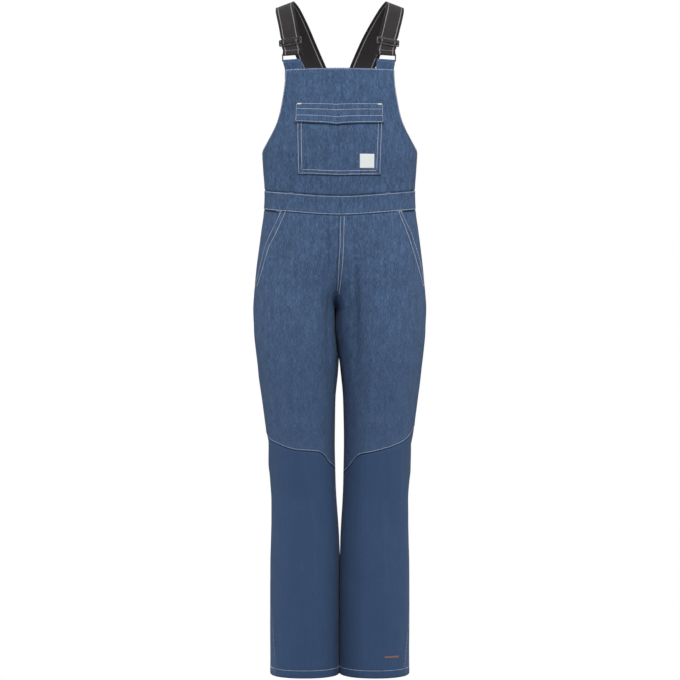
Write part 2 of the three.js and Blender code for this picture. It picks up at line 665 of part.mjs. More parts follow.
for (const side of [1, -1]) {
  const name = NAME[side];
  const rows = [];
  const across = (frame, lift, from = -1, to = 1) =>
    [from, to].map((u) =>
      frame.middle.clone().addScaledVector(frame.width, (u * frame.wide) / 2).addScaledVector(frame.out, lift),
    );

  // Tail, sewn inside the back bib and trimmed at centre back
  const slopeIn = (outOf(side, STRAP[12]) - outOf(side, STRAP[13])) / (STRAP[12].z - STRAP[13].z);
  for (const z of [-224, -212, -200, -192]) {
    const middle = outOf(side, STRAP[13]) + slopeIn * (z - STRAP[13].z);
    const reach = STRAP[13].wide / 2 / Math.cos(Math.atan(slopeIn));
    rows.push(
      [Math.max(middle - reach, SEAM), middle + reach].map((x) =>
        moved(side, turnAt(x, z, true), z, -(CLOTH + LAY + WEBBING / 2)),
      ),
    );
  }
  // Over the shoulder
  const freeSteps = 20;
  const upper = SLIDER_S + 26;
  for (let i = 0; i < freeSteps; i++) {
    const s = THREE.MathUtils.lerp(STRAP_END - 12, upper + 6, i / (freeSteps - 1));
    rows.push(across(strapFrame(side, s), 0));
  }
  for (const { from, s, out } of THREADING) {
    const frame = strapFrame(side, from === "ring" ? RING_S : SLIDER_S + (from === "free" ? s : 0));
    if (from !== "free") frame.middle.addScaledVector(frame.along, s);
    rows.push(across(frame, out));
  }
  add(`strap_${name}`, ribbon(rows, WEBBING), 0x3e3c41, 0.8);

  const windowWidth = SLIDER.width - 2 * SLIDER.side;
  const windowLow = SLIDER.middleBar / 2;
  const windowHigh = SLIDER.height / 2 - SLIDER.outerBar;
  place(
    add(
      `slider_${name}`,
      flatHardware(SLIDER.width, SLIDER.height, SLIDER.thick, 2.1, [
        slot(windowWidth, windowLow, windowHigh),
        slot(windowWidth, -windowHigh, -windowLow),
      ]),
      0x2c2b2f,
      0.45,
      0.5,
    ),
    side,
    SLIDER_S,
  );
  const opening = RING.height / 2 - RING.bar;
  place(
    add(
      `ring_${name}`,
      flatHardware(RING.width, RING.height, RING.thick, 1.7, [slot(RING.width - 2 * RING.side, -opening, opening)]),
      0x19181b,
      0.4,
      0.5,
    ),
    side,
    RING_S,
  );

  // Tab: folded over the ring's lower bar, both ends sewn inside the bib's top edge
  const bend = barReach + TAB_CLOTH / 2;
  const frontIn = CLOTH + LAY + TAB_CLOTH / 2;
  const backIn = frontIn + TAB_CLOTH + SEAM;
  const TAB = table(
    ["from", "z", "out"],
    ["bib", -172, frontIn],
    ["bib", -160, frontIn],
    ["bib", -149, frontIn],
    ["ring", -13, bend],
    ["ring", -ringTop, bend],
    ["ring", -ringTop + bend * 0.7, bend * 0.7],
    ["ring", -ringTop + bend, 0],
    ["ring", -ringTop + bend * 0.7, -bend * 0.7],
    ["ring", -ringTop, -bend],
    ["ring", -13, -bend],
    ["bib", -149, backIn],
    ["bib", -160, backIn],
    ["bib", -172, backIn],
  );
  const tabRows = TAB.map(({ from, z, out }) =>
    [-1, -0.5, 0, 0.5, 1].map((u) => {
      if (from === "bib") {
        const yaw = THREE.MathUtils.degToRad(STRAP[0].yaw);
        return moved(side, turnAt(STRAP[0].out - 1.7 + (u * TAB_WIDTH * Math.cos(yaw)) / 2, z), z, -out);
      }
      const { middle, along, width, out: outwards } = strapFrame(side, RING_S);
      return middle.addScaledVector(along, z).addScaledVector(width, (u * TAB_WIDTH) / 2).addScaledVector(outwards, out);
    }),
  );
  add(`tab_${name}`, ribbon(tabRows, TAB_CLOTH), DENIM);
}

export default overalls;
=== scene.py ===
import math

import bpy
import numpy as np
from mathutils import Matrix, Vector


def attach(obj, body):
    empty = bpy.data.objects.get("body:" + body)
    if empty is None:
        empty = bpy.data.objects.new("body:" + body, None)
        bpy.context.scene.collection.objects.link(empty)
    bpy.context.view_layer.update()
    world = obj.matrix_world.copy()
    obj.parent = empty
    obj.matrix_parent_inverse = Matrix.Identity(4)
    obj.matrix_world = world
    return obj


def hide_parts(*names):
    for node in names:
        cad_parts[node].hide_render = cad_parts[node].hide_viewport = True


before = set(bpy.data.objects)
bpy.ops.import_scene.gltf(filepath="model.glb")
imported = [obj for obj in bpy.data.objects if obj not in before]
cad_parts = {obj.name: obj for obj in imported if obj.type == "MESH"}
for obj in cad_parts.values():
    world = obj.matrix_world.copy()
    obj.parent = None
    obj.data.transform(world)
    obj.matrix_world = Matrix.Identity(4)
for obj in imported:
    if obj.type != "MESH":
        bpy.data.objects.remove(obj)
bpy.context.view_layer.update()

# Ski bib overalls, worn and hollow: the looks.
#
# Sizes are in millimetres until a mesh is made, in the same frame as the CAD:
# +Z up, front towards -Y, the wearer's left at +X. The tables down to STRAP
# repeat those of the CAD source, so every piece follows the same body surface,
# read as (side, turn, z), and lies in its own solid's place.

# ---------------------------------------------------------------- sizes
CLOTH, PATCH, TAB_CLOTH, LABEL, WEBBING, TAB_WIDTH = 1.8, 1.4, 1.2, 0.8, 1.5, 39.5
SEAM, LAY = 0.3, 0.5
BIB_TOP, UNDERARM, WAIST_TOP, WAIST_BOTTOM, WAIST_DIP = -151.3, -318, -396, -436, 17
GROOVE_TOP, CROTCH, THIGH_TOP, THIGH_ROUND, HEM = -470, -645, -450, -800, -1409
LEG_ROUND = 2.2
AROUND = 560  # mm of cloth to one turn, for placing creases and for the weave

BODY = [  # z, half, front, back, seam, gap, round
    (-90, 157.0, 110.0, 108, 0, 0.15, 2.45), (-151, 159.0, 115.0, 112, 0, 0.15, 2.45),
    (-235, 161.0, 118.0, 114, 0, 0.15, 2.45), (-318, 162.6, 116.0, 109, 0, 0.15, 2.4),
    (-354, 160.7, 111.0, 102, 0, 0.15, 2.4), (-396, 157.9, 105.0, 97, 0, 0.15, 2.4),
    (-438, 158.9, 103.0, 99, 0, 0.15, 2.4), (-480, 164.6, 105.0, 108, 0, 0.15, 2.4),
    (-522, 170.1, 108.0, 119, 2, 0.15, 2.4), (-564, 175.2, 111.0, 129, 4, 0.15, 2.35),
    (-606, 178.9, 113.0, 135, 6, 0.15, 2.3), (-648, 181.4, 114.0, 136, 8, 0.2, 2.25),
    (-690, 181.2, 113.5, 133, 8, 0.3, 2.2), (-732, 177.6, 111.5, 127, 7, 0.8, 2.2),
    (-774, 172.0, 108.0, 120, 6, 3.4, 2.2), (-837, 162.8, 101.0, 109, 4, 8.0, 2.2),
    (-921, 152.3, 91.0, 96, 2, 9.6, 2.2), (-1005, 146.0, 84.0, 87, 1, 8.0, 2.2),
    (-1047, 143.6, 82.0, 84, 1, 6.0, 2.2), (-1089, 143.6, 82.0, 83, 1, 3.2, 2.2),
    (-1131, 144.6, 83.0, 84, 1, 1.0, 2.2), (-1174, 145.8, 84.0, 85, 1, 0.3, 2.2),
    (-1290, 146.0, 85.5, 87, 1, 0.3, 2.2), (-1409, 146.0, 86.5, 88.5, 1, 0.3, 2.2),
]
ARMHOLE_FRONT = [(-151.3, .283), (-174, .284), (-195, .288), (-215, .295), (-235, .304), (-256, .319),
                 (-275.5, .343), (-295, .381), (-305, .41), (-313, .452), (-318, .5)]
ARMHOLE_BACK = [(.5, -318), (.55, -310.5), (.62, -297), (.7, -277), (.78, -247), (.84, -218), (.88, -192), (.89, -188.5)]
POCKET_EDGE = [(-151, .2135, .2165), (-247, .2165, .219), (-268, .2178, .2192), (-320, .2196, .2178), (-368, .2289, .2241), (-396, .234, .229)]
FLAP_OVER = {-1: .0083, 1: .0033}
SLANT = [(-430, .315, .33), (-447, .331, .345), (-470, .3525, .3682), (-490, .3725, .389), (-510, .392, .4025),
         (-540, .409, .4265), (-568, .4285, .446), (-592, .449, .465), (-615, .5, .5)]
# The second row of stitches beside each slant pocket
SLANT_ROW = [(-447.6, .3021, .3266), (-474.3, .3262, .348), (-498.8, .3476, .3663), (-518.2, .3665, .3764), (-544, .3818, .3915),
             (-570.7, .3977, .4109), (-589.1, .4137, .4269), (-602, .429, .441)]
KNEE = [(0, -981, -993), (.07, -974, -983), (.125, -963.5, -969), (.155, -949, -955), (.18, -942, -947),
        (.22, -939.5, -942.5), (.26, -938, -937), (.3, -933, -930), (.34, -925.5, -922), (.39, -918.5, -910),
        (.45, -911, -896), (.5, -906, -886)]
OUTSEAM = [(-1100, .5, .5), (-1200, .465, .5), (-1262, .43, .485), (-1300, .41, .45), (-1340, .4, .415), (-1409, .375, .385)]
INSEAM = [(-1000, 0), (-1100, .03), (-1250, .06), (-1409, .065)]
CENTRE = [(-440, -.0015), (-500, -.0065), (-545, -.0075), (-580, -.004), (-605, 0)]
STRAP = [  # out, y, z, yaw, roll, wide, lean, level
    (95.4, -97.8, -151.3, 20, 0, 41, 2.4, 6), (97.6, -97, -127.7, 22, 0, 41, 3, 6), (102.2, -91.5, -95, 22, 6, 41, 2.8, 5.5),
    (105.9, -77, -66, 22, 10, 41, 1.2, 2), (111.3, -52, -37.5, 20, 14, 41, 0, 0), (115.5, -25, -15, 17, 17, 41, 0, 0),
    (115.5, 0.5, -5.3, 15, 19, 41, 0, 0), (106.9, 26, -13, 10, 20, 42, 0, 0), (97, 48, -31, 4, 16, 44, 2, 0),
    (86, 67, -56, -2, 8, 47, 5, 0), (74.4, 84, -86, -6, 3, 50, 8.2, 0), (59.3, 98, -121, -8, 0, 51.5, 8.4, 0),
    (42.4, 106, -158, -8, 0, 51, 6.5, 0), (27, 107.9, -188.5, -6, 0, 49, 3, 0),
]
RIGHT, LEFT = 1, 2  # columns of SLANT, KNEE and OUTSEAM
COLUMN = {1: LEFT, -1: RIGHT}
NAME = {1: "left", -1: "right"}


class Curve:
    """A smooth line through a table's values that never passes them."""

    def __init__(self, rows, column=1, key=0):
        rows = sorted((r[key], r[column]) for r in rows)
        self.x, self.y = (np.array(c, float) for c in zip(*rows))
        h = np.diff(self.x)
        d = np.diff(self.y) / h
        m = np.zeros(len(self.x))
        m[0], m[-1] = d[0], d[-1]
        for j in range(1, len(m) - 1):
            a, b = d[j - 1], d[j]
            if a * b > 0:
                m[j] = (h[j - 1] + h[j]) / ((h[j - 1] / 3 + 2 * h[j] / 3) / a + (2 * h[j - 1] / 3 + h[j] / 3) / b)
        self.m = m

    def __call__(self, at):
        at = np.clip(np.asarray(at, float), self.x[0], self.x[-1])
        i = np.clip(np.searchsorted(self.x, at, "right") - 1, 0, len(self.x) - 2)
        h = self.x[i + 1] - self.x[i]
        t = (at - self.x[i]) / h
        return (self.y[i] * (1 + 2 * t) * (1 - t) ** 2 + self.m[i] * h * t * (1 - t) ** 2
                + self.y[i + 1] * t * t * (3 - 2 * t) - self.m[i + 1] * h * t * t * (1 - t))


half_of, front_of, back_of, seam_of, gap_of, round_of = (Curve(BODY, k) for k in range(1, 7))
armhole_front = Curve(ARMHOLE_FRONT)
armhole_back = Curve(ARMHOLE_BACK)
pocket_edges = {s: Curve(POCKET_EDGE, COLUMN[s]) for s in (1, -1)}
slant_row = {s: Curve(SLANT_ROW, COLUMN[s]) for s in (1, -1)}
slant = {s: Curve(SLANT, COLUMN[s]) for s in (1, -1)}
knee = {s: Curve(KNEE, COLUMN[s]) for s in (1, -1)}
outseam = {s: Curve(OUTSEAM, COLUMN[s]) for s in (1, -1)}
inseam = Curve(INSEAM)
centre = Curve(CENTRE)
# The worn cloth between the legs leans to the wearer's right below the fly
LEAN = Curve([(-515, 0), (-566, -3.0), (-606, -6.0), (-645, -9.0), (-690, -9.0), (-728, -4.5), (-770, -2.0), (-820, -1.2), (-950, -1.2), (-1050, -.5), (-1150, 0)])


def smooth(t):
    t = np.clip(t, 0, 1)
    return t * t * (3 - 2 * t)


def unit(v):
    return v / np.maximum(np.linalg.norm(v, axis=-1, keepdims=True), 1e-12)


# ---------------------------------------------------------------- the body surface
def leg_share(turn, z):
    t = np.clip((z - CROTCH) / (GROOVE_TOP - CROTCH), 0, 1)
    seam = 1 - np.sqrt(np.maximum(0, 1 - (1 - t) ** 2))
    u = np.clip((THIGH_TOP - z) / (THIGH_TOP - THIGH_ROUND), 0, 1)
    thigh = u**3 * (u * (6 * u - 15) + 10)
    return seam + (thigh - seam) * smooth(np.minimum(abs(turn), abs(1 - turn)) / 0.13)


def superellipse(a, ca, b, cb, n):
    return (abs(ca / a) ** n + abs(cb / b) ** n) ** (-1 / n)


def past(side, turn, z):
    """A turn below 0 lies past centre front, on the other side."""
    side, turn, z = (np.asarray(v, float) for v in np.broadcast_arrays(side, turn, z))
    over = (turn < -5e-4) & (z > CROTCH)
    return np.where(over, -side, side), np.where(over, -turn, turn), z


def surface(side, turn, z):
    side, turn, z = past(side, turn, z)
    half, front, back, seam, gap, power = (f(z) for f in (half_of, front_of, back_of, seam_of, gap_of, round_of))
    share = leg_share(turn, z)
    s, c = np.sin(np.pi * turn), np.cos(np.pi * turn)
    r = superellipse(half, s, np.where(c > 0, front + seam, back - seam), c, power)
    x, y = (1 - share) * r * s, (1 - share) * (seam - r * c)
    s, c = np.sin(2 * np.pi * turn), np.cos(2 * np.pi * turn)
    r = superellipse((half - gap) / 2, c, np.where(s > 0, front + seam, back - seam), s, LEG_ROUND)
    x, y = x + share * ((half + gap) / 2 - r * c), y + share * (seam - r * s)
    t = np.where(turn > .5, turn - 1, turn)
    lean = LEAN(z) * np.exp(-((t / .08) ** 2)) * (1 - .8 * smooth(-t / .05))
    return np.stack([side * x + lean, y, z], -1)


def outward(side, turn, z):
    side, turn, z = past(side, turn, z)
    along = surface(1, turn + 1e-4, z) - surface(1, turn - 1e-4, z)
    up = surface(1, turn, z + 0.5) - surface(1, turn, z - 0.5)
    n = unit(np.cross(along, up))
    n[..., 0] *= side
    return n


def speed(turn, z):
    """mm of cloth to one turn at this place."""
    return np.linalg.norm(surface(1, turn + 1e-4, z) - surface(1, turn - 1e-4, z), axis=-1) / 2e-4


def shifted(turn, z, mm):
    return turn + mm / speed(turn, z)


def turn_at(x, z, behind=False):
    """The turn at which the surface is x from the centre plane."""
    x, z = np.broadcast_arrays(np.asarray(x, float), np.asarray(z, float))
    low, high = np.zeros(x.shape), np.full(x.shape, 0.5)
    for _ in range(40):
        mid = (low + high) / 2
        less = surface(1, 1 - mid if behind else mid, z)[..., 0] < x
        low, high = np.where(less, mid, low), np.where(less, high, mid)
    return 1 - low if behind else low


# How far round the cloth each place lies, in mm from the centre front
ARC_Z, ARC_T = np.arange(-1430.0, -80.0, 5.0), np.arange(-0.25, 1.2501, 0.005)
_p = surface(1, ARC_T[None, :], ARC_Z[:, None])
ARC = np.cumsum(np.concatenate([np.zeros((len(ARC_Z), 1)), np.linalg.norm(np.diff(_p, axis=1), axis=-1)], 1), 1)


def around(turn, z, origin):
    """mm round the cloth from the line at turn = origin."""
    j = np.clip((np.asarray(z) - ARC_Z[0]) / 5.0, 0, len(ARC_Z) - 1.001)
    row, a = j.astype(int), j % 1

    def at(t):
        i = np.clip((np.asarray(t) - ARC_T[0]) / 0.005, 0, len(ARC_T) - 1.001)
        col, b = i.astype(int), i % 1
        return ((ARC[row, col] * (1 - b) + ARC[row, col + 1] * b) * (1 - a)
                + (ARC[row + 1, col] * (1 - b) + ARC[row + 1, col + 1] * b) * a)

    return at(turn) - at(origin + 0 * np.asarray(turn))


# ---------------------------------------------------------------- creases
# Soft ridges (+) and troughs (-) of the worn cloth, each listed: side
# 1 left, -1 right, 0 across the middle of the torso; face f front, b back, or
# t where the points give turns instead of x; mm across, mm deep, and the
# share of its length over which each end fades. Points are (x, z), x in mm
# from the centre plane.
CREASES = [
    # side, face, width, depth, fade, points
    # -- bib
    (0, "f", 7, -0.9, .35, [(-56, -372), (-50, -398)]),
    (0, "f", 6, 0.7, .4, [(-44, -376), (-41, -402)]),
    (0, "f", 5, -0.6, .4, [(-33, -378), (-30, -406)]),
    (0, "f", 7, 0.6, .4, [(-17, -378), (-20, -408)]),
    (0, "f", 6, -0.5, .4, [(4, -379), (2, -410)]),
    (0, "f", 6, 0.6, .4, [(18, -378), (20, -408)]),
    (0, "f", 6, -0.6, .4, [(34, -379), (37, -404)]),
    (0, "f", 7, 0.6, .4, [(52, -376), (56, -402)]),
    (0, "f", 8, -0.6, .4, [(70, -374), (76, -398)]),
    (0, "f", 20, 2.2, .5, [(-84, -190), (-86, -250), (-88, -320), (-92, -372)]),
    (0, "f", 9, -1.9, .45, [(-2, -262), (-4, -300), (-7, -350)]),
    (0, "f", 12, 0.9, .45, [(-24, -262), (-22, -305), (-26, -352)]),
    (0, "f", 8, -1.0, .5, [(-58, -292), (-56, -325), (-60, -350)]),
    (0, "f", 12, 0.7, .5, [(30, -268), (28, -310), (34, -345)]),
    (0, "f", 14, -1.2, .45, [(-40, -168), (-22, -196), (-14, -219)]),
    (0, "f", 15, 1.0, .45, [(-62, -170), (-48, -205)]),
    (0, "f", 16, 0.9, .45, [(14, -168), (10, -200), (0, -219)]),
    (0, "f", 13, -0.9, .5, [(40, -172), (36, -216)]),
    (0, "f", 16, 0.9, .5, [(66, -176), (62, -214)]),
    (0, "f", 20, -1.8, .5, [(-104, -228), (-98, -262), (-110, -292)]),
    (0, "f", 18, 1.3, .5, [(-126, -268), (-112, -318), (-118, -366)]),
    (0, "f", 16, -1.5, .45, [(112, -236), (118, -282), (134, -322)]),
    (0, "f", 16, 1.2, .5, [(98, -300), (108, -342), (112, -380)]),
    (0, "f", 12, -1.0, .5, [(-140, -322), (-130, -352), (-134, -386)]),
    (0, "f", 7, -1.8, .45, [(-102, -216), (-101, -240), (-103, -266)]),
    (0, "f", 5, -1.3, .45, [(97, -218), (97, -240), (98, -264)]),
    # -- waistband, a soft wave from side to side
    (0, "f", 13, -0.8, .4, [(-146, -402), (-141, -434)]),
    (0, "f", 13, 0.7, .4, [(-98, -406), (-96, -440)]),
    (0, "f", 12, -0.7, .4, [(-38, -408), (-52, -446)]),
    (0, "f", 12, 0.6, .4, [(6, -412), (14, -450)]),
    (0, "f", 12, -0.7, .4, [(48, -410), (66, -446)]),
    (0, "f", 13, 0.6, .4, [(100, -406), (94, -442)]),
    (0, "f", 12, -0.7, .4, [(138, -404), (132, -438)]),
    # -- hips and front thighs, the wearer's right
    (-1, "f", 17, -3.8, .4, [(118, -462), (110, -512), (118, -560), (134, -640)]),
    (-1, "f", 15, 1.5, .45, [(84, -462), (80, -520), (96, -590)]),
    (-1, "f", 11, -1.9, .4, [(30, -470), (22, -530), (26, -590), (32, -640)]),
    (-1, "f", 12, 1.8, .4, [(52, -452), (38, -520), (40, -600), (44, -700)]),
    (-1, "f", 9, -5.0, .35, [(10, -588), (19, -650), (20, -740), (17, -850)]),
    (-1, "f", 22, 1.3, .5, [(72, -610), (70, -720), (76, -830)]),
    (-1, "f", 20, -1.5, .5, [(112, -640), (104, -740), (100, -850)]),
    (-1, "f", 15, -1.3, .5, [(96, -846), (66, -874), (38, -900)]),
    (-1, "f", 14, 1.1, .5, [(116, -872), (84, -902), (56, -918)]),
    # -- hips and front thighs, the wearer's left
    (1, "f", 11, -3.6, .35, [(34, -458), (31, -530), (30, -620), (33, -740), (38, -850)]),
    (1, "f", 8, 2.2, .4, [(6, -590), (9, -660), (9, -730)]),
    (1, "f", 17, 1.6, .45, [(66, -470), (66, -560), (70, -680)]),
    (1, "f", 16, -1.6, .5, [(104, -470), (112, -540), (118, -620)]),
    (1, "f", 18, 1.1, .5, [(126, -530), (134, -600), (130, -690)]),
    (1, "f", 22, 1.2, .5, [(92, -640), (92, -760), (96, -860)]),
    (1, "f", 16, -1.2, .5, [(114, -800), (84, -852), (48, -892)]),
    (1, "f", 13, -1.1, .5, [(128, -836), (104, -868), (82, -880)]),
    # -- lower legs, the wearer's right
    (-1, "f", 22, -1.5, .5, [(112, -1000), (76, -1042), (48, -1062)]),
    (-1, "f", 20, 1.2, .5, [(44, -1090), (34, -1180), (40, -1290)]),
    (-1, "f", 22, -1.4, .5, [(64, -1098), (72, -1160), (96, -1210)]),
    (-1, "f", 20, -1.2, .5, [(110, -1220), (104, -1290), (98, -1360)]),
    (-1, "f", 18, 1.2, .5, [(76, -1230), (66, -1300), (62, -1370)]),
    # -- lower legs, the wearer's left
    (1, "f", 20, -1.9, .5, [(92, -996), (104, -1080), (116, -1160), (122, -1220)]),
    (1, "f", 20, 1.4, .5, [(52, -1012), (62, -1110), (70, -1230)]),
    (1, "f", 9, 1.8, .4, [(130, -880), (125, -990), (123, -1130)]),
    (1, "f", 8, 1.5, .5, [(124, -1270), (122, -1395)]),
    (-1, "f", 8, 1.5, .5, [(136, -1240), (135, -1390)]),
    (1, "f", 16, -1.2, .5, [(28, -1130), (34, -1200), (30, -1290)]),
    (1, "f", 17, 1.2, .5, [(96, -1190), (98, -1270), (92, -1350)]),
    (1, "f", 16, -1.2, .5, [(60, -1250), (66, -1320), (58, -1372)]),
    # -- outer sides: long drags below the pocket mouths and at the knees
    (-1, "t", 16, -1.8, .45, [(.49, -640), (.50, -720), (.47, -800)]),
    (-1, "t", 18, 1.2, .5, [(.545, -620), (.56, -720), (.53, -830)]),
    (-1, "t", 15, -1.7, .5, [(.40, -905), (.5, -925), (.6, -950)]),
    (-1, "t", 15, 1.2, .5, [(.42, -955), (.52, -975), (.64, -1005)]),
    (1, "t", 16, -1.7, .45, [(.5, -630), (.485, -730), (.5, -815)]),
    (1, "t", 18, 1.2, .5, [(.55, -640), (.57, -745), (.54, -850)]),
    (1, "t", 15, -1.6, .5, [(.38, -895), (.49, -930), (.61, -965)]),
    (1, "t", 15, 1.2, .5, [(.43, -970), (.54, -992), (.66, -1012)]),
    # -- inner thighs
    (-1, "t", 13, -1.8, .5, [(.03, -690), (.02, -760), (-.03, -850)]),
    (1, "t", 13, -1.7, .5, [(.02, -700), (.035, -780), (-.02, -870)]),
    # -- back bib and waist
    (0, "b", 18, -1.6, .45, [(-98, -300), (-72, -340), (-58, -386)]),
    (0, "b", 18, 1.3, .5, [(-58, -256), (-38, -316), (-30, -376)]),
    (0, "b", 16, -1.4, .5, [(8, -262), (2, -320), (8, -380)]),
    (0, "b", 18, 1.3, .5, [(46, -258), (40, -322), (34, -382)]),
    (0, "b", 18, -1.6, .45, [(102, -306), (80, -346), (66, -388)]),
    (0, "b", 14, -0.8, .4, [(-104, -400), (-100, -434)]),
    (0, "b", 14, 0.8, .4, [(-42, -400), (-46, -434)]),
    (0, "b", 14, -0.8, .4, [(24, -400), (20, -434)]),
    (0, "b", 14, 0.8, .4, [(92, -400), (96, -434)]),
    # -- seat and back thighs
    (-1, "b", 16, -2.4, .45, [(24, -614), (66, -640), (112, -634)]),
    (-1, "b", 15, -2.0, .5, [(36, -678), (70, -700), (118, -706)]),
    (-1, "b", 18, 1.4, .5, [(44, -470), (62, -530), (66, -590)]),
    (-1, "b", 14, -1.5, .5, [(26, -466), (22, -520), (18, -570)]),
    (1, "b", 16, -2.3, .45, [(26, -620), (64, -650), (108, -648)]),
    (1, "b", 15, -2.0, .5, [(34, -688), (74, -712), (112, -708)]),
    (1, "b", 18, 1.4, .5, [(50, -468), (66, -526), (70, -592)]),
    (1, "b", 14, -1.5, .5, [(28, -470), (26, -528), (20, -574)]),
    (-1, "b", 16, 1.5, .5, [(60, -730), (66, -810), (62, -890)]),
    (1, "b", 16, 1.5, .5, [(66, -740), (70, -820), (64, -900)]),
    # -- backs of the knees
    (-1, "b", 11, -2.6, .45, [(30, -934), (68, -952), (112, -944)]),
    (-1, "b", 10, -2.2, .5, [(34, -976), (74, -990), (116, -1000)]),
    (-1, "b", 11, 1.6, .5, [(26, -962), (70, -972), (106, -976)]),
    (1, "b", 11, -2.6, .45, [(28, -940), (72, -958), (110, -950)]),
    (1, "b", 10, -2.2, .5, [(36, -984), (78, -996), (118, -988)]),
    (1, "b", 11, 1.6, .5, [(30, -968), (74, -978), (112, -970)]),
    # -- calves
    (-1, "b", 18, 1.5, .5, [(56, -1040), (62, -1150), (72, -1260)]),
    (-1, "b", 18, -1.6, .5, [(96, -1080), (92, -1180), (100, -1290)]),
    (-1, "b", 16, -1.3, .5, [(40, -1180), (46, -1280), (42, -1370)]),
    (1, "b", 18, 1.5, .5, [(62, -1046), (66, -1140), (60, -1240)]),
    (1, "b", 18, -1.6, .5, [(98, -1090), (104, -1200), (94, -1310)]),
    (1, "b", 16, -1.3, .5, [(36, -1190), (42, -1270), (50, -1366)]),
]
# Short drags that run out of a seam or a fastening, in the same columns
for _x, _z0, _z1, _d in [(-78, -160, -206, -0.8), (78, -160, -204, -0.8), (-100, -158, -196, 0.6), (100, -158, -198, 0.6),
                         (-90, -158, -186, -0.6), (91, -158, -188, -0.5)]:
    CREASES.append((0, "f", 7, _d, .6, [(_x, _z0), (_x * 1.02, _z1)]))


def crease_lines():
    made = []
    for side, face, width, depth, fade, points in CREASES:
        p = np.array(points, float)
        if face == "t":
            t = p[:, 0]
        else:
            t = turn_at(abs(p[:, 0]), p[:, 1], face == "b")
            if side == 0:
                t = t * np.where(p[:, 0] < 0, -1, 1)
        line = np.stack([t * AROUND, p[:, 1]], -1)
        # a smooth line through the points
        if len(line) > 2:
            k = np.arange(len(line))
            fine = np.linspace(0, len(line) - 1, 4 * (len(line) - 1) + 1)
            line = np.stack([Curve(list(zip(k, line[:, i])))(fine) for i in (0, 1)], -1)
        made.append((side, width, depth, fade, line))
    return made


CREASE_LINES = crease_lines()


def crease(side, turn, z):
    """How far the worn cloth stands out of the body surface here, in mm."""
    side, turn, z = (np.asarray(v, float) for v in np.broadcast_arrays(side, turn, z))
    shape = side.shape
    side, turn, z = side.ravel(), turn.ravel(), z.ravel()
    lift = np.zeros(side.shape)
    for own, width, depth, fade, line in CREASE_LINES:
        reach = 3.2 * width
        near = (z < line[:, 1].max() + reach) & (z > line[:, 1].min() - reach)
        if own:
            near &= side == own
            u = turn * AROUND
            tries = [u, np.where(z < CROTCH, u - AROUND, 1e6), np.where(z < CROTCH, u + AROUND, 1e6)]
        else:
            u = side * turn * AROUND
            tries = [u, u - 2 * AROUND * side]
        for u in tries:
            i = np.flatnonzero(near & (u > line[:, 0].min() - reach) & (u < line[:, 0].max() + reach))
            if not len(i):
                continue
            p = np.stack([u[i], z[i]], -1)
            lengths = np.linalg.norm(np.diff(line, axis=0), axis=1)
            before = np.concatenate([[0], np.cumsum(lengths)])
            best, where = np.full(len(i), 1e9), np.zeros(len(i))
            for a, b, length, start in zip(line[:-1], line[1:], lengths, before):
                t = ((p - a) @ (b - a)) / length**2
                raw = np.clip(t, 0, 1)
                d = np.linalg.norm(p - (a + raw[:, None] * (b - a)), axis=1)
                closer = d < best
                best, where = np.where(closer, d, best), np.where(closer, start + raw * length, where)
            at = where / before[-1]
            ends = smooth(at / fade) * smooth((1 - at) / fade)
            lift[i] += 1.45 * depth * ends * np.exp(-((best / width) ** 2))
    # slow unevenness of cloth that no cutter's paper has
    u = turn * AROUND * side
    lift += 0.35 * np.sin(u / 31 + 1.3 * np.sin(z / 83) + side) * np.sin(z / 57 + 0.6 * side)
    lift += 0.22 * np.sin(u / 17 + z / 44 + 2 * side) * np.sin(z / 29 - u / 90)
    # nothing stands out where both legs or both sides meet
    middle = np.minimum(abs(turn), abs(1 - turn)) * AROUND
    meet = smooth(middle / 16) * (z < GROOVE_TOP) + 1.0 * (z >= GROOVE_TOP)
    blend = smooth((GROOVE_TOP - z) / 60)
    lift *= np.where(z < GROOVE_TOP, (1 - blend) + blend * meet, 1)
    # the thighs press together along a line that wanders, one giving way to the other
    t = np.where(turn > .5, turn - 1, turn)
    touch = smooth((GROOVE_TOP - 30 - z) / 60) * smooth((z + 860) / 90) + .7 * smooth((-1120 - z) / 60)
    lift += side * 1.7 * np.clip(t / .035, -1, 1) * np.exp(-((t / .085) ** 2)) * touch
    return lift.reshape(shape)


def lifted(side, turn, z, lift=0.0):
    """A point of the worn cloth's outer face, moved out by lift."""
    return surface(side, turn, z) + outward(side, turn, z) * np.asarray(crease(side, turn, z) + lift)[..., None]


# ---------------------------------------------------------------- meshes
def new_object(name, points, faces, uv=None, material_index=None, materials=(), smooth_faces=True):
    """points in mm, faces a list of arrays of equal-length polygons, uv one pair for each point."""
    mesh = bpy.data.meshes.new(name)
    points = np.asarray(points, float) / 1000
    loops = np.concatenate([f.ravel() for f in faces]).astype(np.int32)
    sizes = np.concatenate([np.full(len(f), f.shape[1]) for f in faces])
    mesh.vertices.add(len(points))
    mesh.vertices.foreach_set("co", points.astype(np.float32).ravel())
    mesh.loops.add(len(loops))
    mesh.loops.foreach_set("vertex_index", loops)
    mesh.polygons.add(len(sizes))
    mesh.polygons.foreach_set("loop_start", np.concatenate([[0], np.cumsum(sizes)[:-1]]).astype(np.int32))
    mesh.polygons.foreach_set("use_smooth", np.full(len(sizes), smooth_faces))
    if material_index is not None:
        mesh.polygons.foreach_set("material_index", np.asarray(material_index, np.int32))
    mesh.update(calc_edges=True)
    if uv is not None:
        layer = mesh.uv_layers.new(name="Cloth")
        layer.uv.foreach_set("vector", np.asarray(uv, np.float32)[loops].ravel())
    for m in materials:
        mesh.materials.append(m)
    mesh.validate()
    o = bpy.data.objects.new(name, mesh)
    bpy.context.scene.collection.objects.link(o)
    return o


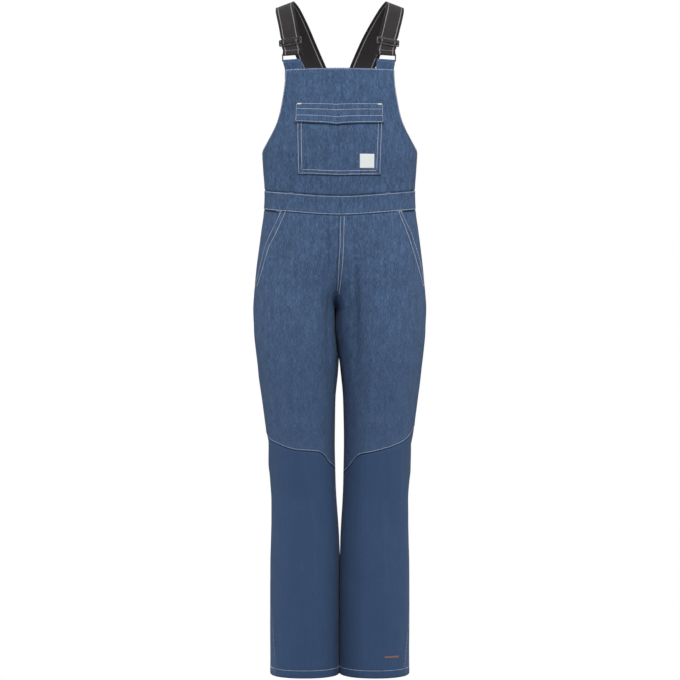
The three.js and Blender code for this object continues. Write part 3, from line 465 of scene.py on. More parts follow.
def volume_of(points, quads):
    a, b, c, d = (points[quads[:, k]] for k in range(4))
    return (np.einsum("ij,ij->i", a, np.cross(b, c)) + np.einsum("ij,ij->i", a, np.cross(c, d))).sum()


def closed_wall(name, outer, inner, uv, materials, smooth_faces=True):
    """A closed wall between two grids of points of the same size. Material 0 covers its outer face and rim, 1 its inner face."""
    rows, cols = outer.shape[:2]
    points = np.concatenate([outer.reshape(-1, 3), inner.reshape(-1, 3)])
    ids = np.arange(2 * rows * cols).reshape(2, rows, cols)

    def quads(a, b, c, d):
        return np.stack([a.ravel(), b.ravel(), c.ravel(), d.ravel()], -1)

    o, i = ids
    parts = [
        quads(o[:-1, :-1], o[1:, :-1], o[1:, 1:], o[:-1, 1:]),
        quads(i[:-1, :-1], i[:-1, 1:], i[1:, 1:], i[1:, :-1]),
        quads(o[0, :-1], o[0, 1:], i[0, 1:], i[0, :-1]),
        quads(o[-1, :-1], i[-1, :-1], i[-1, 1:], o[-1, 1:]),
        quads(o[:-1, 0], i[:-1, 0], i[1:, 0], o[1:, 0]),
        quads(o[:-1, -1], o[1:, -1], i[1:, -1], i[:-1, -1]),
    ]
    index = np.concatenate([np.full(len(p), 1 if k == 1 else 0) for k, p in enumerate(parts)])
    faces = np.concatenate(parts)
    if volume_of(points, faces) < 0:
        faces = faces[:, ::-1]
    uv = np.concatenate([uv.reshape(-1, 2)] * 2)
    return new_object(name, points, [faces], uv, np.minimum(index, len(materials) - 1), materials, smooth_faces)


# How the cloth rolls over beside each kind of edge: mm from the edge, mm of lift
EDGES = {
    "seam": [(0, -.85), (.45, -.3), (1.1, -.06), (2.4, 0)],
    "under": [(0, -1.7), (.5, -1.5), (1.2, -1.05), (2.2, -.45), (3.6, -.08), (5, 0)],
    "stitched": [(0, -.5), (.35, .25), (1.0, .5), (2.2, .16), (3.4, .42), (6, .2), (9, 0)],
    "double": [(0, -.5), (.35, .25), (1.0, .5), (2.2, .16), (3.4, .42), (6, .36), (8.0, .4), (9.5, .14), (11, .3), (15, 0)],
    "open": [(0, -.95), (.45, -.3), (1.1, .04), (2.4, -.14), (4, .06), (7, 0)],
    "hem": [(0, -.95), (.5, -.3), (1.2, .1), (7, .28), (14, .18), (16, -.16), (18, .04), (22, 0)],
    "ridge": [(0, -.85), (.45, -.2), (1.1, .38), (2.2, .42), (3.6, .1), (6, 0)],
    "none": [(0, 0), (1, 0)],
}


def steps(length, spacing, near_start, near_end):
    """Shares from 0 to 1 along a line of this length, close together near both ends."""
    a = [d / length for d, _ in EDGES[near_start]]
    b = [1 - d / length for d, _ in EDGES[near_end]][::-1]
    n = max(int((b[0] - a[-1]) * length / spacing), 2)
    return np.array(a[:-1] + list(np.linspace(a[-1], b[0], n + 1)) + b[1:])


def profile(kind, d):
    x, y = zip(*EDGES[kind])
    return np.interp(d, x, y)


def distances(p):
    """For each point of a grid, how far it is from the first and last column, and the first and last row."""
    across = np.cumsum(np.concatenate([np.zeros_like(p[:, :1, 0]), np.linalg.norm(np.diff(p, axis=1), axis=-1)], 1), 1)
    down = np.cumsum(np.concatenate([np.zeros_like(p[:1, :, 0]), np.linalg.norm(np.diff(p, axis=0), axis=-1)], 0), 0)
    return across, across[:, -1:] - across, down, down[-1:] - down


flat_sizes = {}


def cloth(name, side, turn, z, edges, materials, lift=0.0, thick=CLOTH, hem=0.0, roll=1.0, origin=0.0):
    """A closed wall of cloth over a grid of (side, turn, z). edges are the kinds at its first and last column, and its first and last row."""
    side, turn, z = np.broadcast_arrays(side, turn, z)
    base = surface(side, turn, z)
    dist = distances(base)
    rolled = sum(profile(kind, d) for kind, d in zip(edges, dist)) * roll
    rolled = np.maximum(rolled, -1.75 * roll)
    # where the two sides meet above the crotch the edges don't roll away from each other
    rolled = rolled * (1 - smooth((-572 - z) / 24) * smooth((.03 - np.minimum(abs(turn), abs(1 - turn))) / .01))
    n = outward(side, turn, z)
    out = crease(side, turn, z) + lift
    outer = base + n * (out + rolled)[..., None]
    inside = thick - 0.35 * np.exp(-np.min(dist, axis=0) / 0.5)
    if hem:
        inside = inside + hem * (dist[3] < 17.5)
    inner = base + n * (out - inside + np.minimum(rolled + .9, 0))[..., None]
    uv = np.stack([side * around(turn, z, origin) / 100, z / 100], -1)
    rows, cols = (dist[0] + dist[1])[:, 0], (dist[2] + dist[3])[0]
    cell = np.linalg.norm(np.cross(base[1:, :-1] - base[:-1, :-1], base[:-1, 1:] - base[:-1, :-1]), axis=-1)
    flat_sizes[name] = [round(float(v), 4) for v in (rows.max() / 1000, cols.max() / 1000, cell.sum() / 1e6)]
    return closed_wall(name, outer, inner, uv, materials)


def grid(side, f, g, top, bottom, start, end):
    """(turn, z) over shares f down and g across, between four boundary functions."""
    f, g = f[:, None] + 0 * g[None, :], 0 * f[:, None] + g[None, :]
    turn = np.full(f.shape, 0.25)
    for _ in range(14):
        z = top(turn) * (1 - f) + bottom(turn) * f
        turn = start(z) * (1 - g) + end(z) * g
    return turn, top(turn) * (1 - f) + bottom(turn) * f


# ---------------------------------------------------------------- thread
def thread_along(points, normals, pitch=3.3, length=2.75, radius=0.33, dive=0.42, rise=0.28, start=0.4):
    """Stitches along a line of points: each comes up out of the cloth, lies on it and goes down again."""
    seg = np.linalg.norm(np.diff(points, axis=0), axis=1)
    along = np.concatenate([[0], np.cumsum(seg)])
    total = along[-1]
    count = int((total - 2 * start) / pitch)
    if count < 1:
        return np.zeros((0, 3)), []
    pitch = (total - 2 * start) / count
    s = start + pitch * (np.arange(count) + 0.5)
    offsets = np.array([-.5, -.36, 0, .36, .5]) * length
    heights = np.array([-dive, rise * .75, rise, rise * .75, -dive])
    radii = radius * np.array([.6, .95, 1, .95, .6])
    at = (s[:, None] + offsets[None, :]).clip(0, total)

    def read(values):
        return np.stack([np.interp(at, along, values[:, k]) for k in range(3)], -1)

    p, n = read(points), unit(read(normals))
    tangent = unit(np.gradient(p, axis=1) + 1e-9)
    across = unit(np.cross(n, tangent))
    sides = 6
    angle = np.arange(sides) * 2 * np.pi / sides
    ring = (np.cos(angle)[None, None, :, None] * across[:, :, None, :] + 0.8 * np.sin(angle)[None, None, :, None] * n[:, :, None, :])
    v = p[:, :, None, :] + n[:, :, None, :] * heights[None, :, None, None] + ring * radii[None, :, None, None]
    verts = v.reshape(-1, 3)
    ids = np.arange(len(verts)).reshape(count, 5, sides)
    a, b = ids[:, :-1], ids[:, 1:]
    walls = np.stack([a, np.roll(a, -1, 2), np.roll(b, -1, 2), b], -1).reshape(-1, 4)
    caps = np.concatenate([ids[:, 0, ::-1], ids[:, -1, :]])
    return verts, [walls, caps]


class Thread:
    """Gathers stitch lines into one joined mesh."""

    def __init__(self, name):
        self.name, self.verts, self.quads, self.caps, self.count = name, [], [], [], 0

    def add(self, points, normals, **sizes):
        verts, faces = thread_along(points, normals, **sizes)
        if len(verts):
            self.verts.append(verts)
            self.quads.append(faces[0] + self.count)
            self.caps.append(faces[1] + self.count)
            self.count += len(verts)
        return self

    def on(self, side, turn, z, lift=0.0, flip=False, **sizes):
        """A stitch line on the worn cloth, through (side, turn, z)."""
        side, turn, z = (np.asarray(v, float) for v in np.broadcast_arrays(side, turn, z))
        rough = surface(side, turn, z)
        along = np.concatenate([[0], np.cumsum(np.linalg.norm(np.diff(rough, axis=0), axis=1))])
        fine = np.linspace(0, along[-1], max(int(along[-1] / 1.2), 8))
        side = np.where(np.interp(fine, along, side) < 0, -1.0, 1.0)
        turn, z = np.interp(fine, along, turn), np.interp(fine, along, z)
        points, normals = lifted(side, turn, z, lift), outward(side, turn, z)
        return self.add(points, normals, **sizes)

    def tack(self, side, turn, z, mm, upright=False, lift=0.0, width=2.6, **sizes):
        """A bartack: short threads side by side over mm of cloth."""
        n = max(int(mm / 0.55), 3)
        for k in range(n):
            d = (k + 0.5) / n * mm - mm / 2
            lean = 0.35 * (-1) ** k
            w = width / 2
            if upright:
                t = shifted(turn, z, np.array([-w, w]))
                zz = np.array([z + d - lean, z + d + lean])
            else:
                t = shifted(turn, z, np.array([d - lean, d + lean]))
                zz = np.array([z - w, z + w])
            s = np.linspace(0, 1, 5)
            t, zz = t[0] + (t[1] - t[0]) * s, zz[0] + (zz[1] - zz[0]) * s
            points, normals = lifted(side, t, zz, lift), outward(side, t, zz)
            self.add(points, normals, pitch=width, length=width, radius=0.36, dive=0.2, rise=0.45, start=0.0)

    def make(self, material, slot):
        caps = np.concatenate(self.caps)
        o = new_object(self.name, np.concatenate(self.verts), [np.concatenate(self.quads), caps], None, None, [material])
        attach(o, "root")
        return o


# ---------------------------------------------------------------- materials
def srgb(r, g, b):
    def f(c):
        c /= 255
        return c / 12.92 if c <= 0.04045 else ((c + 0.055) / 1.055) ** 2.4
    return (f(r), f(g), f(b), 1)


def scaled(colour, k):
    return (colour[0] * k, colour[1] * k, colour[2] * k, 1)


class Nodes:
    """Shorthand for building a material's nodes."""

    def __init__(self, name):
        self.m = bpy.data.materials.new(name)
        self.m.use_nodes = True
        self.t = self.m.node_tree
        self.shader = self.t.nodes["Principled BSDF"]

    def new(self, kind, inputs=(), **props):
        n = self.t.nodes.new(kind)
        for k, v in props.items():
            setattr(n, k, v)
        for key, value in dict(inputs).items():
            socket = n.inputs[key]
            if isinstance(value, bpy.types.NodeSocket):
                self.t.links.new(value, socket)
            else:
                socket.default_value = value
        return n

    def math(self, op, a, b=0.0, c=0.0, clamp=False):
        n = self.new("ShaderNodeMath", operation=op, use_clamp=clamp)
        for k, value in enumerate((a, b, c)):
            if isinstance(value, bpy.types.NodeSocket):
                self.t.links.new(value, n.inputs[k])
            else:
                n.inputs[k].default_value = value
        return n.outputs[0]

    def ramp(self, fac, stops):
        n = self.new("ShaderNodeValToRGB", {"Fac": fac})
        e = n.color_ramp.elements
        while len(e) < len(stops):
            e.new(0.5)
        for item, (pos, col) in zip(e, stops):
            item.position, item.color = pos, col
        return n.outputs["Color"]

    def mix(self, fac, a, b, blend="MIX"):
        n = self.new("ShaderNodeMix", data_type="RGBA", blend_type=blend)
        for socket, value in ((n.inputs[0], fac), (n.inputs[6], a), (n.inputs[7], b)):
            if isinstance(value, bpy.types.NodeSocket):
                self.t.links.new(value, socket)
            else:
                socket.default_value = value
        return n.outputs[2]

    def noise(self, vector, scale, detail=2.0, rough=0.5, dims="2D"):
        n = self.new("ShaderNodeTexNoise", {"Vector": vector, "Scale": scale, "Detail": detail, "Roughness": rough}, noise_dimensions=dims)
        return n.outputs["Fac"] if "Fac" in n.outputs else n.outputs[0]

    def stretched(self, vector, x, y, offset=0.0):
        return self.new("ShaderNodeMapping", {"Vector": vector, "Scale": (x, y, 1), "Location": (offset, offset * 0.7, 0)}).outputs[0]

    def set(self, **values):
        for key, value in values.items():
            socket = self.shader.inputs[key.replace("_", " ")]
            if isinstance(value, bpy.types.NodeSocket):
                self.t.links.new(value, socket)
            else:
                socket.default_value = value


def denim(name, dark, mid, light, streak=1.0, fine=1.0, mottle=1.0, sheen=0.35, rough=0.82, bump=0.5):
    """Softshell with a denim face: upright slubs, a fine twill and a slow mottle. The map is in decimetres of cloth."""
    k = Nodes(name)
    uv = k.new("ShaderNodeUVMap", uv_map="Cloth").outputs[0]
    slub = k.noise(k.stretched(uv, 58, 7.5), 1.0, 2.0, 0.6)
    thin = k.noise(k.stretched(uv, 140, 14, 3.7), 1.0, 2.0, 0.6)
    cross = k.noise(k.stretched(uv, 15, 85, 6.1), 1.0, 2.0, 0.6)
    patch = k.noise(k.stretched(uv, 6.5, 4.0, 9.1), 1.0, 3.0, 0.55)
    long_ = k.noise(k.stretched(uv, 14, 1.6, 5.3), 1.0, 2.0, 0.5)
    total = k.math("MULTIPLY", k.math("SUBTRACT", slub, 0.5), 0.7 * streak)
    total = k.math("ADD", total, k.math("MULTIPLY", k.math("SUBTRACT", thin, 0.5), 1.0 * fine))
    total = k.math("ADD", total, k.math("MULTIPLY", k.math("SUBTRACT", cross, 0.5), 0.5 * fine))
    total = k.math("ADD", total, k.math("MULTIPLY", k.math("SUBTRACT", patch, 0.5), 0.34 * mottle))
    total = k.math("ADD", total, k.math("MULTIPLY", k.math("SUBTRACT", long_, 0.5), 0.35 * streak))
    # twill: fine slanting ribs, 0.9 mm apart
    parts = k.new("ShaderNodeSeparateXYZ", {0: uv})
    slope = k.math("ADD", k.math("MULTIPLY", parts.outputs[0], 620.0), k.math("MULTIPLY", parts.outputs[1], 330.0))
    rib = k.math("SINE", slope)
    weft = k.math("SINE", k.math("SUBTRACT", k.math("MULTIPLY", parts.outputs[1], 900.0), k.math("MULTIPLY", parts.outputs[0], 210.0)))
    weave = k.math("MULTIPLY", rib, weft)
    total = k.math("ADD", total, k.math("MULTIPLY", k.math("ADD", rib, k.math("MULTIPLY", weave, 0.7)), 0.07 * fine))
    # the cloth is plainer towards the knees
    plain = k.new("ShaderNodeMapRange", {"Value": parts.outputs[1], "From Min": -9.4, "From Max": -5.2, "To Min": 0.5, "To Max": 1.0}).outputs[0]
    total = k.math("MULTIPLY", total, plain)
    colour = k.ramp(k.math("ADD", total, 0.5, clamp=True), [(0.12, dark), (0.5, mid), (0.88, light)])
    height = k.math("ADD", k.math("MULTIPLY", rib, 0.5), k.math("ADD", k.math("MULTIPLY", weave, 0.35), k.math("MULTIPLY", slub, 0.9)))
    bumped = k.new("ShaderNodeBump", {"Height": height, "Strength": bump, "Distance": 0.00022})
    k.set(Base_Color=colour, Roughness=rough, Normal=bumped.outputs[0])
    k.shader.inputs["Specular IOR Level"].default_value = 0.12
    k.shader.inputs["Sheen Weight"].default_value = sheen
    k.shader.inputs["Sheen Roughness"].default_value = 0.45
    k.shader.inputs["Sheen Tint"].default_value = (0.62, 0.74, 0.95, 1)
    return k.m


UPPER = srgb(66, 87, 118)
LOWER = srgb(53, 74, 105)
upper = denim("denim_upper", scaled(UPPER, 0.5), UPPER, scaled(UPPER, 1.75), sheen=.06)
lower = denim("denim_lower", scaled(LOWER, .8), scaled(LOWER, 1.09), scaled(LOWER, 1.42), streak=.9, fine=.85, mottle=1.1, sheen=.08, rough=.8, bump=.3)


def backing_material():
    k = Nodes("softshell_backing")
    uv = k.new("ShaderNodeUVMap", uv_map="Cloth").outputs[0]
    a = k.noise(k.stretched(uv, 60, 60), 1.0, 3.0, 0.6)
    b = k.noise(k.stretched(uv, 9, 9, 2.0), 1.0, 2.0, 0.5)
    value = k.math("ADD", k.math("MULTIPLY", a, 0.6), k.math("MULTIPLY", b, 0.4))
    base = srgb(58, 70, 90)
    colour = k.ramp(value, [(0.3, scaled(base, 0.75)), (0.7, scaled(base, 1.25))])
    bumped = k.new("ShaderNodeBump", {"Height": a, "Strength": 0.35, "Distance": 0.0004})
    k.set(Base_Color=colour, Roughness=0.92, Normal=bumped.outputs[0])
    k.shader.inputs["Specular IOR Level"].default_value = 0.15
    k.shader.inputs["Sheen Weight"].default_value = 0.4
    return k.m


backing = backing_material()


def thread_material(name, base, rough=0.6):
    k = Nodes(name)
    at = k.new("ShaderNodeTexCoord").outputs["Object"]
    n = k.noise(at, 900.0, 2.0, 0.5, "3D")
    slow = k.noise(at, 38.0, 1.0, 0.5, "3D")
    value = k.math("ADD", k.math("MULTIPLY", n, 0.5), k.math("MULTIPLY", slow, 0.5))
    colour = k.ramp(value, [(0.3, scaled(base, 0.78)), (0.7, scaled(base, 1.12))])
    bumped = k.new("ShaderNodeBump", {"Height": n, "Strength": 0.4, "Distance": 0.0001})
    k.set(Base_Color=colour, Roughness=rough, Normal=bumped.outputs[0])
    k.shader.inputs["Sheen Weight"].default_value = 0.2
    return k.m


topstitch = thread_material("topstitch_thread", srgb(238, 243, 250))
tack_thread = thread_material("bartack_thread", srgb(240, 236, 214))
grey_thread = thread_material("strap_thread", srgb(150, 146, 150))


def webbing_material():
    """Woven webbing: dark edges, a lighter stripe inside each, and fine ribs across. The map is in mm across and along, over 100."""
    k = Nodes("webbing")
    uv = k.new("ShaderNodeUVMap", uv_map="Cloth").outputs[0]
    parts = k.new("ShaderNodeSeparateXYZ", {0: uv})
    across = k.math("ABSOLUTE", parts.outputs[0])
    u = k.math("MULTIPLY", across, 100.0)  # mm from the middle

    def band(low, high, soft=0.25):
        a = k.new("ShaderNodeMapRange", {"Value": u, "From Min": low - soft, "From Max": low + soft, "To Min": 0.0, "To Max": 1.0}).outputs[0]
        b = k.new("ShaderNodeMapRange", {"Value": u, "From Min": high - soft, "From Max": high + soft, "To Min": 1.0, "To Max": 0.0}).outputs[0]
        return k.math("MULTIPLY", a, b)

    body, edge, stripe = srgb(38, 33, 36), srgb(15, 13, 15), srgb(138, 131, 136)
    rib = k.math("SINE", k.math("MULTIPLY", parts.outputs[1], 2 * math.pi * 100 / 1.6))
    cord_ = k.math("SINE", k.math("MULTIPLY", parts.outputs[0], 2 * math.pi * 100 / 1.1))
    grain = k.noise(k.stretched(uv, 110, 40), 1.0, 2.0, 0.6)
    slow = k.noise(k.stretched(uv, 6, 4, 1.7), 1.0, 2.0, 0.5)
    colour = k.mix(band(15.6, 40), body, edge)
    colour = k.mix(band(13.6, 15.2), colour, stripe)
    tone = k.math("ADD", k.math("MULTIPLY", grain, 0.55), k.math("ADD", k.math("MULTIPLY", slow, 0.35), k.math("MULTIPLY", rib, 0.07)))
    shade = k.ramp(tone, [(0.2, (0.62, 0.62, 0.62, 1)), (0.75, (1.35, 1.35, 1.35, 1))])
    colour = k.mix(1.0, colour, shade, "MULTIPLY")
    height = k.math("ADD", k.math("MULTIPLY", rib, 0.6), k.math("MULTIPLY", cord_, 0.35))
    bumped = k.new("ShaderNodeBump", {"Height": height, "Strength": 0.55, "Distance": 0.0003})
    k.set(Base_Color=colour, Roughness=0.72, Normal=bumped.outputs[0])
    k.shader.inputs["Specular IOR Level"].default_value = 0.35
    k.shader.inputs["Sheen Weight"].default_value = 0.25
    k.shader.inputs["Sheen Roughness"].default_value = 0.4
    return k.m


def hard_material(name, base, rough, metallic, edge_highlight):
    k = Nodes(name)
    at = k.new("ShaderNodeTexCoord").outputs["Object"]
    n = k.noise(at, 260.0, 4.0, 0.6, "3D")
    slow = k.noise(at, 55.0, 2.0, 0.5, "3D")
    colour = k.ramp(slow, [(0.35, scaled(base, 0.85)), (0.7, scaled(base, 1.15))])
    # painted highlight: sharp edges, found by pointiness, take a lighter colour where light would glint on them
    edge = k.new("ShaderNodeNewGeometry").outputs["Pointiness"]
    painted_highlight = k.new("ShaderNodeMapRange", {"Value": edge, "From Min": 0.52, "From Max": 0.62, "To Min": 0.0, "To Max": 0.55}).outputs[0]
    colour = k.mix(k.math("MULTIPLY", painted_highlight, n), colour, edge_highlight)
    spread = k.new("ShaderNodeMapRange", {"Value": n, "From Min": 0.3, "From Max": 0.7, "To Min": rough - 0.08, "To Max": rough + 0.1}).outputs[0]
    bumped = k.new("ShaderNodeBump", {"Height": n, "Strength": 0.15, "Distance": 0.0002})
    k.set(Base_Color=colour, Roughness=spread, Normal=bumped.outputs[0])
    k.shader.inputs["Metallic"].default_value = metallic
    return k.m


webbing = webbing_material()
plastic = hard_material("slider_plastic", srgb(28, 27, 31), 0.36, 0.0, srgb(120, 120, 124))
# the slider's bevels take a light grey painted highlight material
plastic_painted_highlight = hard_material("slider_plastic_edge", srgb(172, 168, 174), 0.26, 0.0, srgb(150, 150, 154))
painted = hard_material("ring_paint", srgb(22, 21, 24), 0.3, 0.0, srgb(110, 110, 114))


def label_material():
    k = Nodes("label_weave")
    uv = k.new("ShaderNodeUVMap", uv_map="Cloth").outputs[0]
    parts = k.new("ShaderNodeSeparateXYZ", {0: uv})
    a = k.math("SINE", k.math("MULTIPLY", parts.outputs[0], 1700.0))
    b = k.math("SINE", k.math("MULTIPLY", parts.outputs[1], 1900.0))
    n = k.noise(k.stretched(uv, 60, 60), 1.0, 2.0, 0.5)
    base = srgb(226, 230, 230)
    colour = k.ramp(n, [(0.3, scaled(base, 0.9)), (0.7, scaled(base, 1.06))])
    bumped = k.new("ShaderNodeBump", {"Height": k.math("MULTIPLY", a, b), "Strength": 0.3, "Distance": 0.0001})
    k.set(Base_Color=colour, Roughness=0.7, Normal=bumped.outputs[0])
    return k.m


def print_material():
    k = Nodes("orange_print")
    at = k.new("ShaderNodeTexCoord").outputs["Object"]
    n = k.noise(at, 700.0, 3.0, 0.6, "3D")
    base = srgb(132, 98, 76)
    colour = k.ramp(n, [(0.3, scaled(base, 0.75)), (0.7, scaled(base, 1.1))])
    bumped = k.new("ShaderNodeBump", {"Height": n, "Strength": 0.3, "Distance": 0.0001})
    k.set(Base_Color=colour, Roughness=0.55, Normal=bumped.outputs[0])
    return k.m


label_weave, orange = label_material(), print_material()

# ---------------------------------------------------------------- the cloth pieces
SPACING = 4.6


def waist_top(turn):
    return WAIST_TOP - WAIST_DIP * np.maximum(np.cos(np.pi * turn), 0) ** 1.2


def waist_bottom(turn):
    return WAIST_BOTTOM - WAIST_DIP * np.maximum(np.cos(np.pi * turn), 0) ** 1.2


def finish_piece(o, node):
    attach(o, "root")
    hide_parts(node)
    return o


# Front bib. Its rows run from the centre to points shared out along the armhole and side seam.
edge_z = np.concatenate([np.linspace(BIB_TOP, UNDERARM, 260), np.linspace(UNDERARM, WAIST_TOP + SEAM / 2, 40)[1:]])
edge_t = np.where(edge_z > UNDERARM, armhole_front(edge_z), 0.5)
edge_t = shifted(edge_t, edge_z, -SEAM / 2)
edge_p = surface(1, edge_t, edge_z)
edge_s = np.concatenate([[0], np.cumsum(np.linalg.norm(np.diff(edge_p, axis=0), axis=1))])


def bib_front_at(f, g):
    """f: share of the way down; g: -1 at the right edge, 1 at the left."""
    f, g = np.broadcast_arrays(f, g)
    t_e, z_e = np.interp(f * edge_s[-1], edge_s, edge_t), np.interp(f * edge_s[-1], edge_s, edge_z)
    z_c = BIB_TOP + (waist_top(0.0) + SEAM / 2 - BIB_TOP) * f
    turn = abs(g) * t_e
    low = waist_top(turn) + SEAM / 2
    # rows bend from the centre's height to the edge's, and the last one follows the waist seam
    z = z_c + (z_e - z_c) * smooth(abs(g)) ** 0.9
    straight = BIB_TOP + (low - BIB_TOP) * f
    w = smooth((f - 0.72) / 0.28)
    return np.where(g < 0, -1.0, 1.0), turn, z * (1 - w) + straight * w


f = steps(edge_s[-1] * 0.95, SPACING, "open", "under")
g = steps(300, SPACING, "open", "open") * 2 - 1
g = np.unique(np.concatenate([g, [0.0]]))
finish_piece(cloth("bib_front_cloth", *bib_front_at(f[:, None], g[None, :]), ("open", "open", "open", "under"), (upper, backing)),
             "bib_front")

# Pocket, its flap and the label
def pocket_turn(g, z):
    """g runs from -1 at the pocket's right edge to 1 at its left."""
    return abs(g) * np.where(g < 0, pocket_edges[-1](z), pocket_edges[1](z))


def sides(g):
    return np.where(g < 0, -1.0, 1.0)


def pocket_foot(g, z):
    """The pocket's foot rises a little towards its corners."""
    return z + (3.2 * smooth(-g) + 1.4 * smooth(g)) * smooth((-z - 262) / 100)


z = (-232 - 139.5 * steps(140, SPACING * .8, "seam", "double"))[:, None]
g = steps(262, SPACING * .8, "double", "double") * 2 - 1
g = np.unique(np.concatenate([g, [0.0]]))[None, :]
finish_piece(cloth("bib_pocket_cloth", sides(g), pocket_turn(g, z), pocket_foot(g, z),
                   ("double", "double", "seam", "double"), (upper, backing), lift=LAY + PATCH, thick=PATCH, roll=.8),
             "bib_pocket")

FLAP = [(-221.5, LAY), (-225.5, LAY + .5), (-230, 2 * LAY + PATCH), (-262, 2 * LAY + PATCH + .8)]
FLAP_SAG = Curve([(-1, 0), (-.6, .42), (-.35, .68), (-.17, .9), (-.09, 1.12), (0, .92), (.2, .74), (.5, .55), (1, .32)])


def flap_at(g, z):
    """side, turn, z and lift of the flap's outer face."""
    down = (-z - 221.5) / 40.5
    lift = np.interp(-z, [-r[0] for r in FLAP], [r[1] for r in FLAP]) + PATCH
    # each sewn row pulls the cloth in, and the free edge waves and stands off
    for row in (-234.6, -247.6):
        lift = lift - 0.3 * np.exp(-(((z - row) / 1.5) ** 2))
    lift = lift + 1.5 * smooth((-z - 240) / 20) + (0.5 * np.sin(g * 8.5 + 0.6) - 0.5 * np.exp(-(((g + .1) / .06) ** 2))) * smooth((-z - 236) / 20)
    t = pocket_turn(g, z) + np.where(g < 0, FLAP_OVER[-1], FLAP_OVER[1]) * smooth((abs(g) - .7) / .3)
    return sides(g) + 0 * z, t, z - FLAP_SAG(g) * (2.4 + 3.1 * down), lift


z = (-221.5 - 40.5 * steps(40.5, 2.0, "open", "open"))[:, None]
s_, t_, z_, lift_ = flap_at(g, z)
finish_piece(cloth("pocket_flap_cloth", s_, t_, z_, ("open", "open", "open", "open"), (upper, backing),
                   lift=lift_, thick=PATCH + 1.1 * smooth((-z - 246) / 12), roll=.8),
             "pocket_flap")
x, z = np.linspace(40.8, 70.1, 25)[None, :], np.linspace(-327.6, -356.6, 19)[:, None]
label_turn = turn_at(x, z + 0 * x)
finish_piece(cloth("pocket_label_cloth", 1.0, label_turn, z, ("none",) * 4, (label_weave,), lift=2 * LAY + PATCH + LABEL, thick=LABEL),
             "pocket_label")

# Waistbands
for back in (False, True):
    g = steps(412, SPACING, "seam", "seam") * 2 - 1
    g = np.unique(np.concatenate([g, [0.0]]))
    f = steps(40, 2.6, "stitched", "stitched")
    reach = float(shifted(np.array(0.5), WAIST_TOP, -SEAM / 2))
    turn = abs(g)[None, :] * reach + 0 * f[:, None]
    top, bottom = waist_top(turn) - SEAM / 2, waist_bottom(turn) + SEAM / 2
    if back:
        turn = 1 - turn
        top, bottom = WAIST_TOP - SEAM / 2 + 0 * turn, WAIST_BOTTOM + SEAM / 2 + 0 * turn
    name = "waistband_back" if back else "waistband_front"
    finish_piece(cloth(name + "_cloth", np.where(g < 0, -1.0, 1.0)[None, :], turn, top + (bottom - top) * f[:, None],
                       ("seam", "seam", "stitched", "stitched"), (upper, backing), origin=1.0 if back else 0.0), name)

# Back bib: columns at their turns, rows shared out between its top edge and the waistband
g = steps(420, SPACING, "seam", "seam") * 2 - 1
g = np.unique(np.concatenate([g, [0.0], [-.22, -.221, .22, .221]]))
f = steps(150, SPACING * .8, "open", "under")
turn = 1 - abs(g)[None, :] * (0.5 - SEAM / 2 / 540) + 0 * f[:, None]
top = armhole_back(turn)
finish_piece(cloth("bib_back_cloth", np.where(g < 0, -1.0, 1.0)[None, :], turn, top + (WAIST_TOP + SEAM / 2 - top) * f[:, None],
                   ("seam", "seam", "open", "under"), (upper, backing), origin=1.0), "bib_back")

# Legs
for side in (1, -1):
    name = NAME[side]

    def start(z, side=side):
        c = side * centre(z)
        base = np.maximum(c, 0)
        gap = shifted(base, z, SEAM / 2) - base
        return np.where(z > CROTCH, c, inseam(z)) + gap

    def end(z, side=side):
        return np.minimum(slant[side](z), shifted(outseam[side](z), z, -SEAM / 2))

    # Upper front leg
    f = steps(520, SPACING, "under", "stitched")
    g = steps(225, SPACING, "double" if side == 1 else "under", "double")
    turn, z = grid(side, f, g, lambda t: waist_bottom(t) - SEAM / 2, lambda t, s=side: knee[s](t) + SEAM / 2, start, end)
    finish_piece(cloth(f"front_thigh_{name}_cloth", float(side), turn, z, ("double" if side == 1 else "under", "double", "under", "stitched"),
                       (upper, backing), origin=.24), f"front_thigh_{name}")

    # Hip facing, tucked under the pocket's mouth
    f = np.linspace(0, 1, 45)
    g = np.linspace(0, 1, 16)
    under = CLOTH + 1.4
    lift = np.interp(g, [0, .14, .5, .82, 1], [-under, -under, -.55 * under, -.12 * under, 0])
    turn, z = grid(side, f, g, lambda t: waist_bottom(t) - SEAM / 2, lambda t: -616.0 + 0 * t,
                   lambda z, s=side: shifted(slant[s](z), z, -6), lambda z: shifted(np.full(np.shape(z), .5), z, -SEAM / 2))
    finish_piece(cloth(f"hip_facing_{name}_cloth", float(side), turn, z, ("none", "seam", "under", "none"), (upper, backing),
                       lift=lift[None, :], origin=.5), f"hip_facing_{name}")

    # Lower front leg
    f = steps(455, SPACING, "under", "hem")
    g = steps(215, SPACING, "seam", "seam")
    turn, z = grid(side, f, g, lambda t, s=side: knee[s](t) - SEAM / 2, lambda t: HEM + 0 * t,
                   lambda z: shifted(inseam(z), z, SEAM / 2), lambda z, s=side: shifted(outseam[s](z), z, -SEAM / 2))
    finish_piece(cloth(f"front_shin_{name}_cloth", float(side), turn, z, ("ridge", "ridge", "under", "hem"), (lower, backing), hem=1.4, origin=.25),
                 f"front_shin_{name}")

    # Back leg
    f = steps(970, SPACING, "under", "hem")
    g = steps(270, SPACING, "seam", "seam")
    turn, z = grid(side, f, g, lambda t: WAIST_BOTTOM - SEAM / 2 + 0 * t, lambda t: HEM + 0 * t,
                   lambda z, s=side: shifted(outseam[s](z), z, SEAM / 2),
                   lambda z: shifted(1 + np.where(z > CROTCH, 0, inseam(z)), z, -SEAM / 2))
    finish_piece(cloth(f"back_leg_{name}_cloth", float(side), turn, z, ("ridge", "seam", "under", "hem"), (upper, backing), hem=1.4, origin=.75),
                 f"back_leg_{name}")

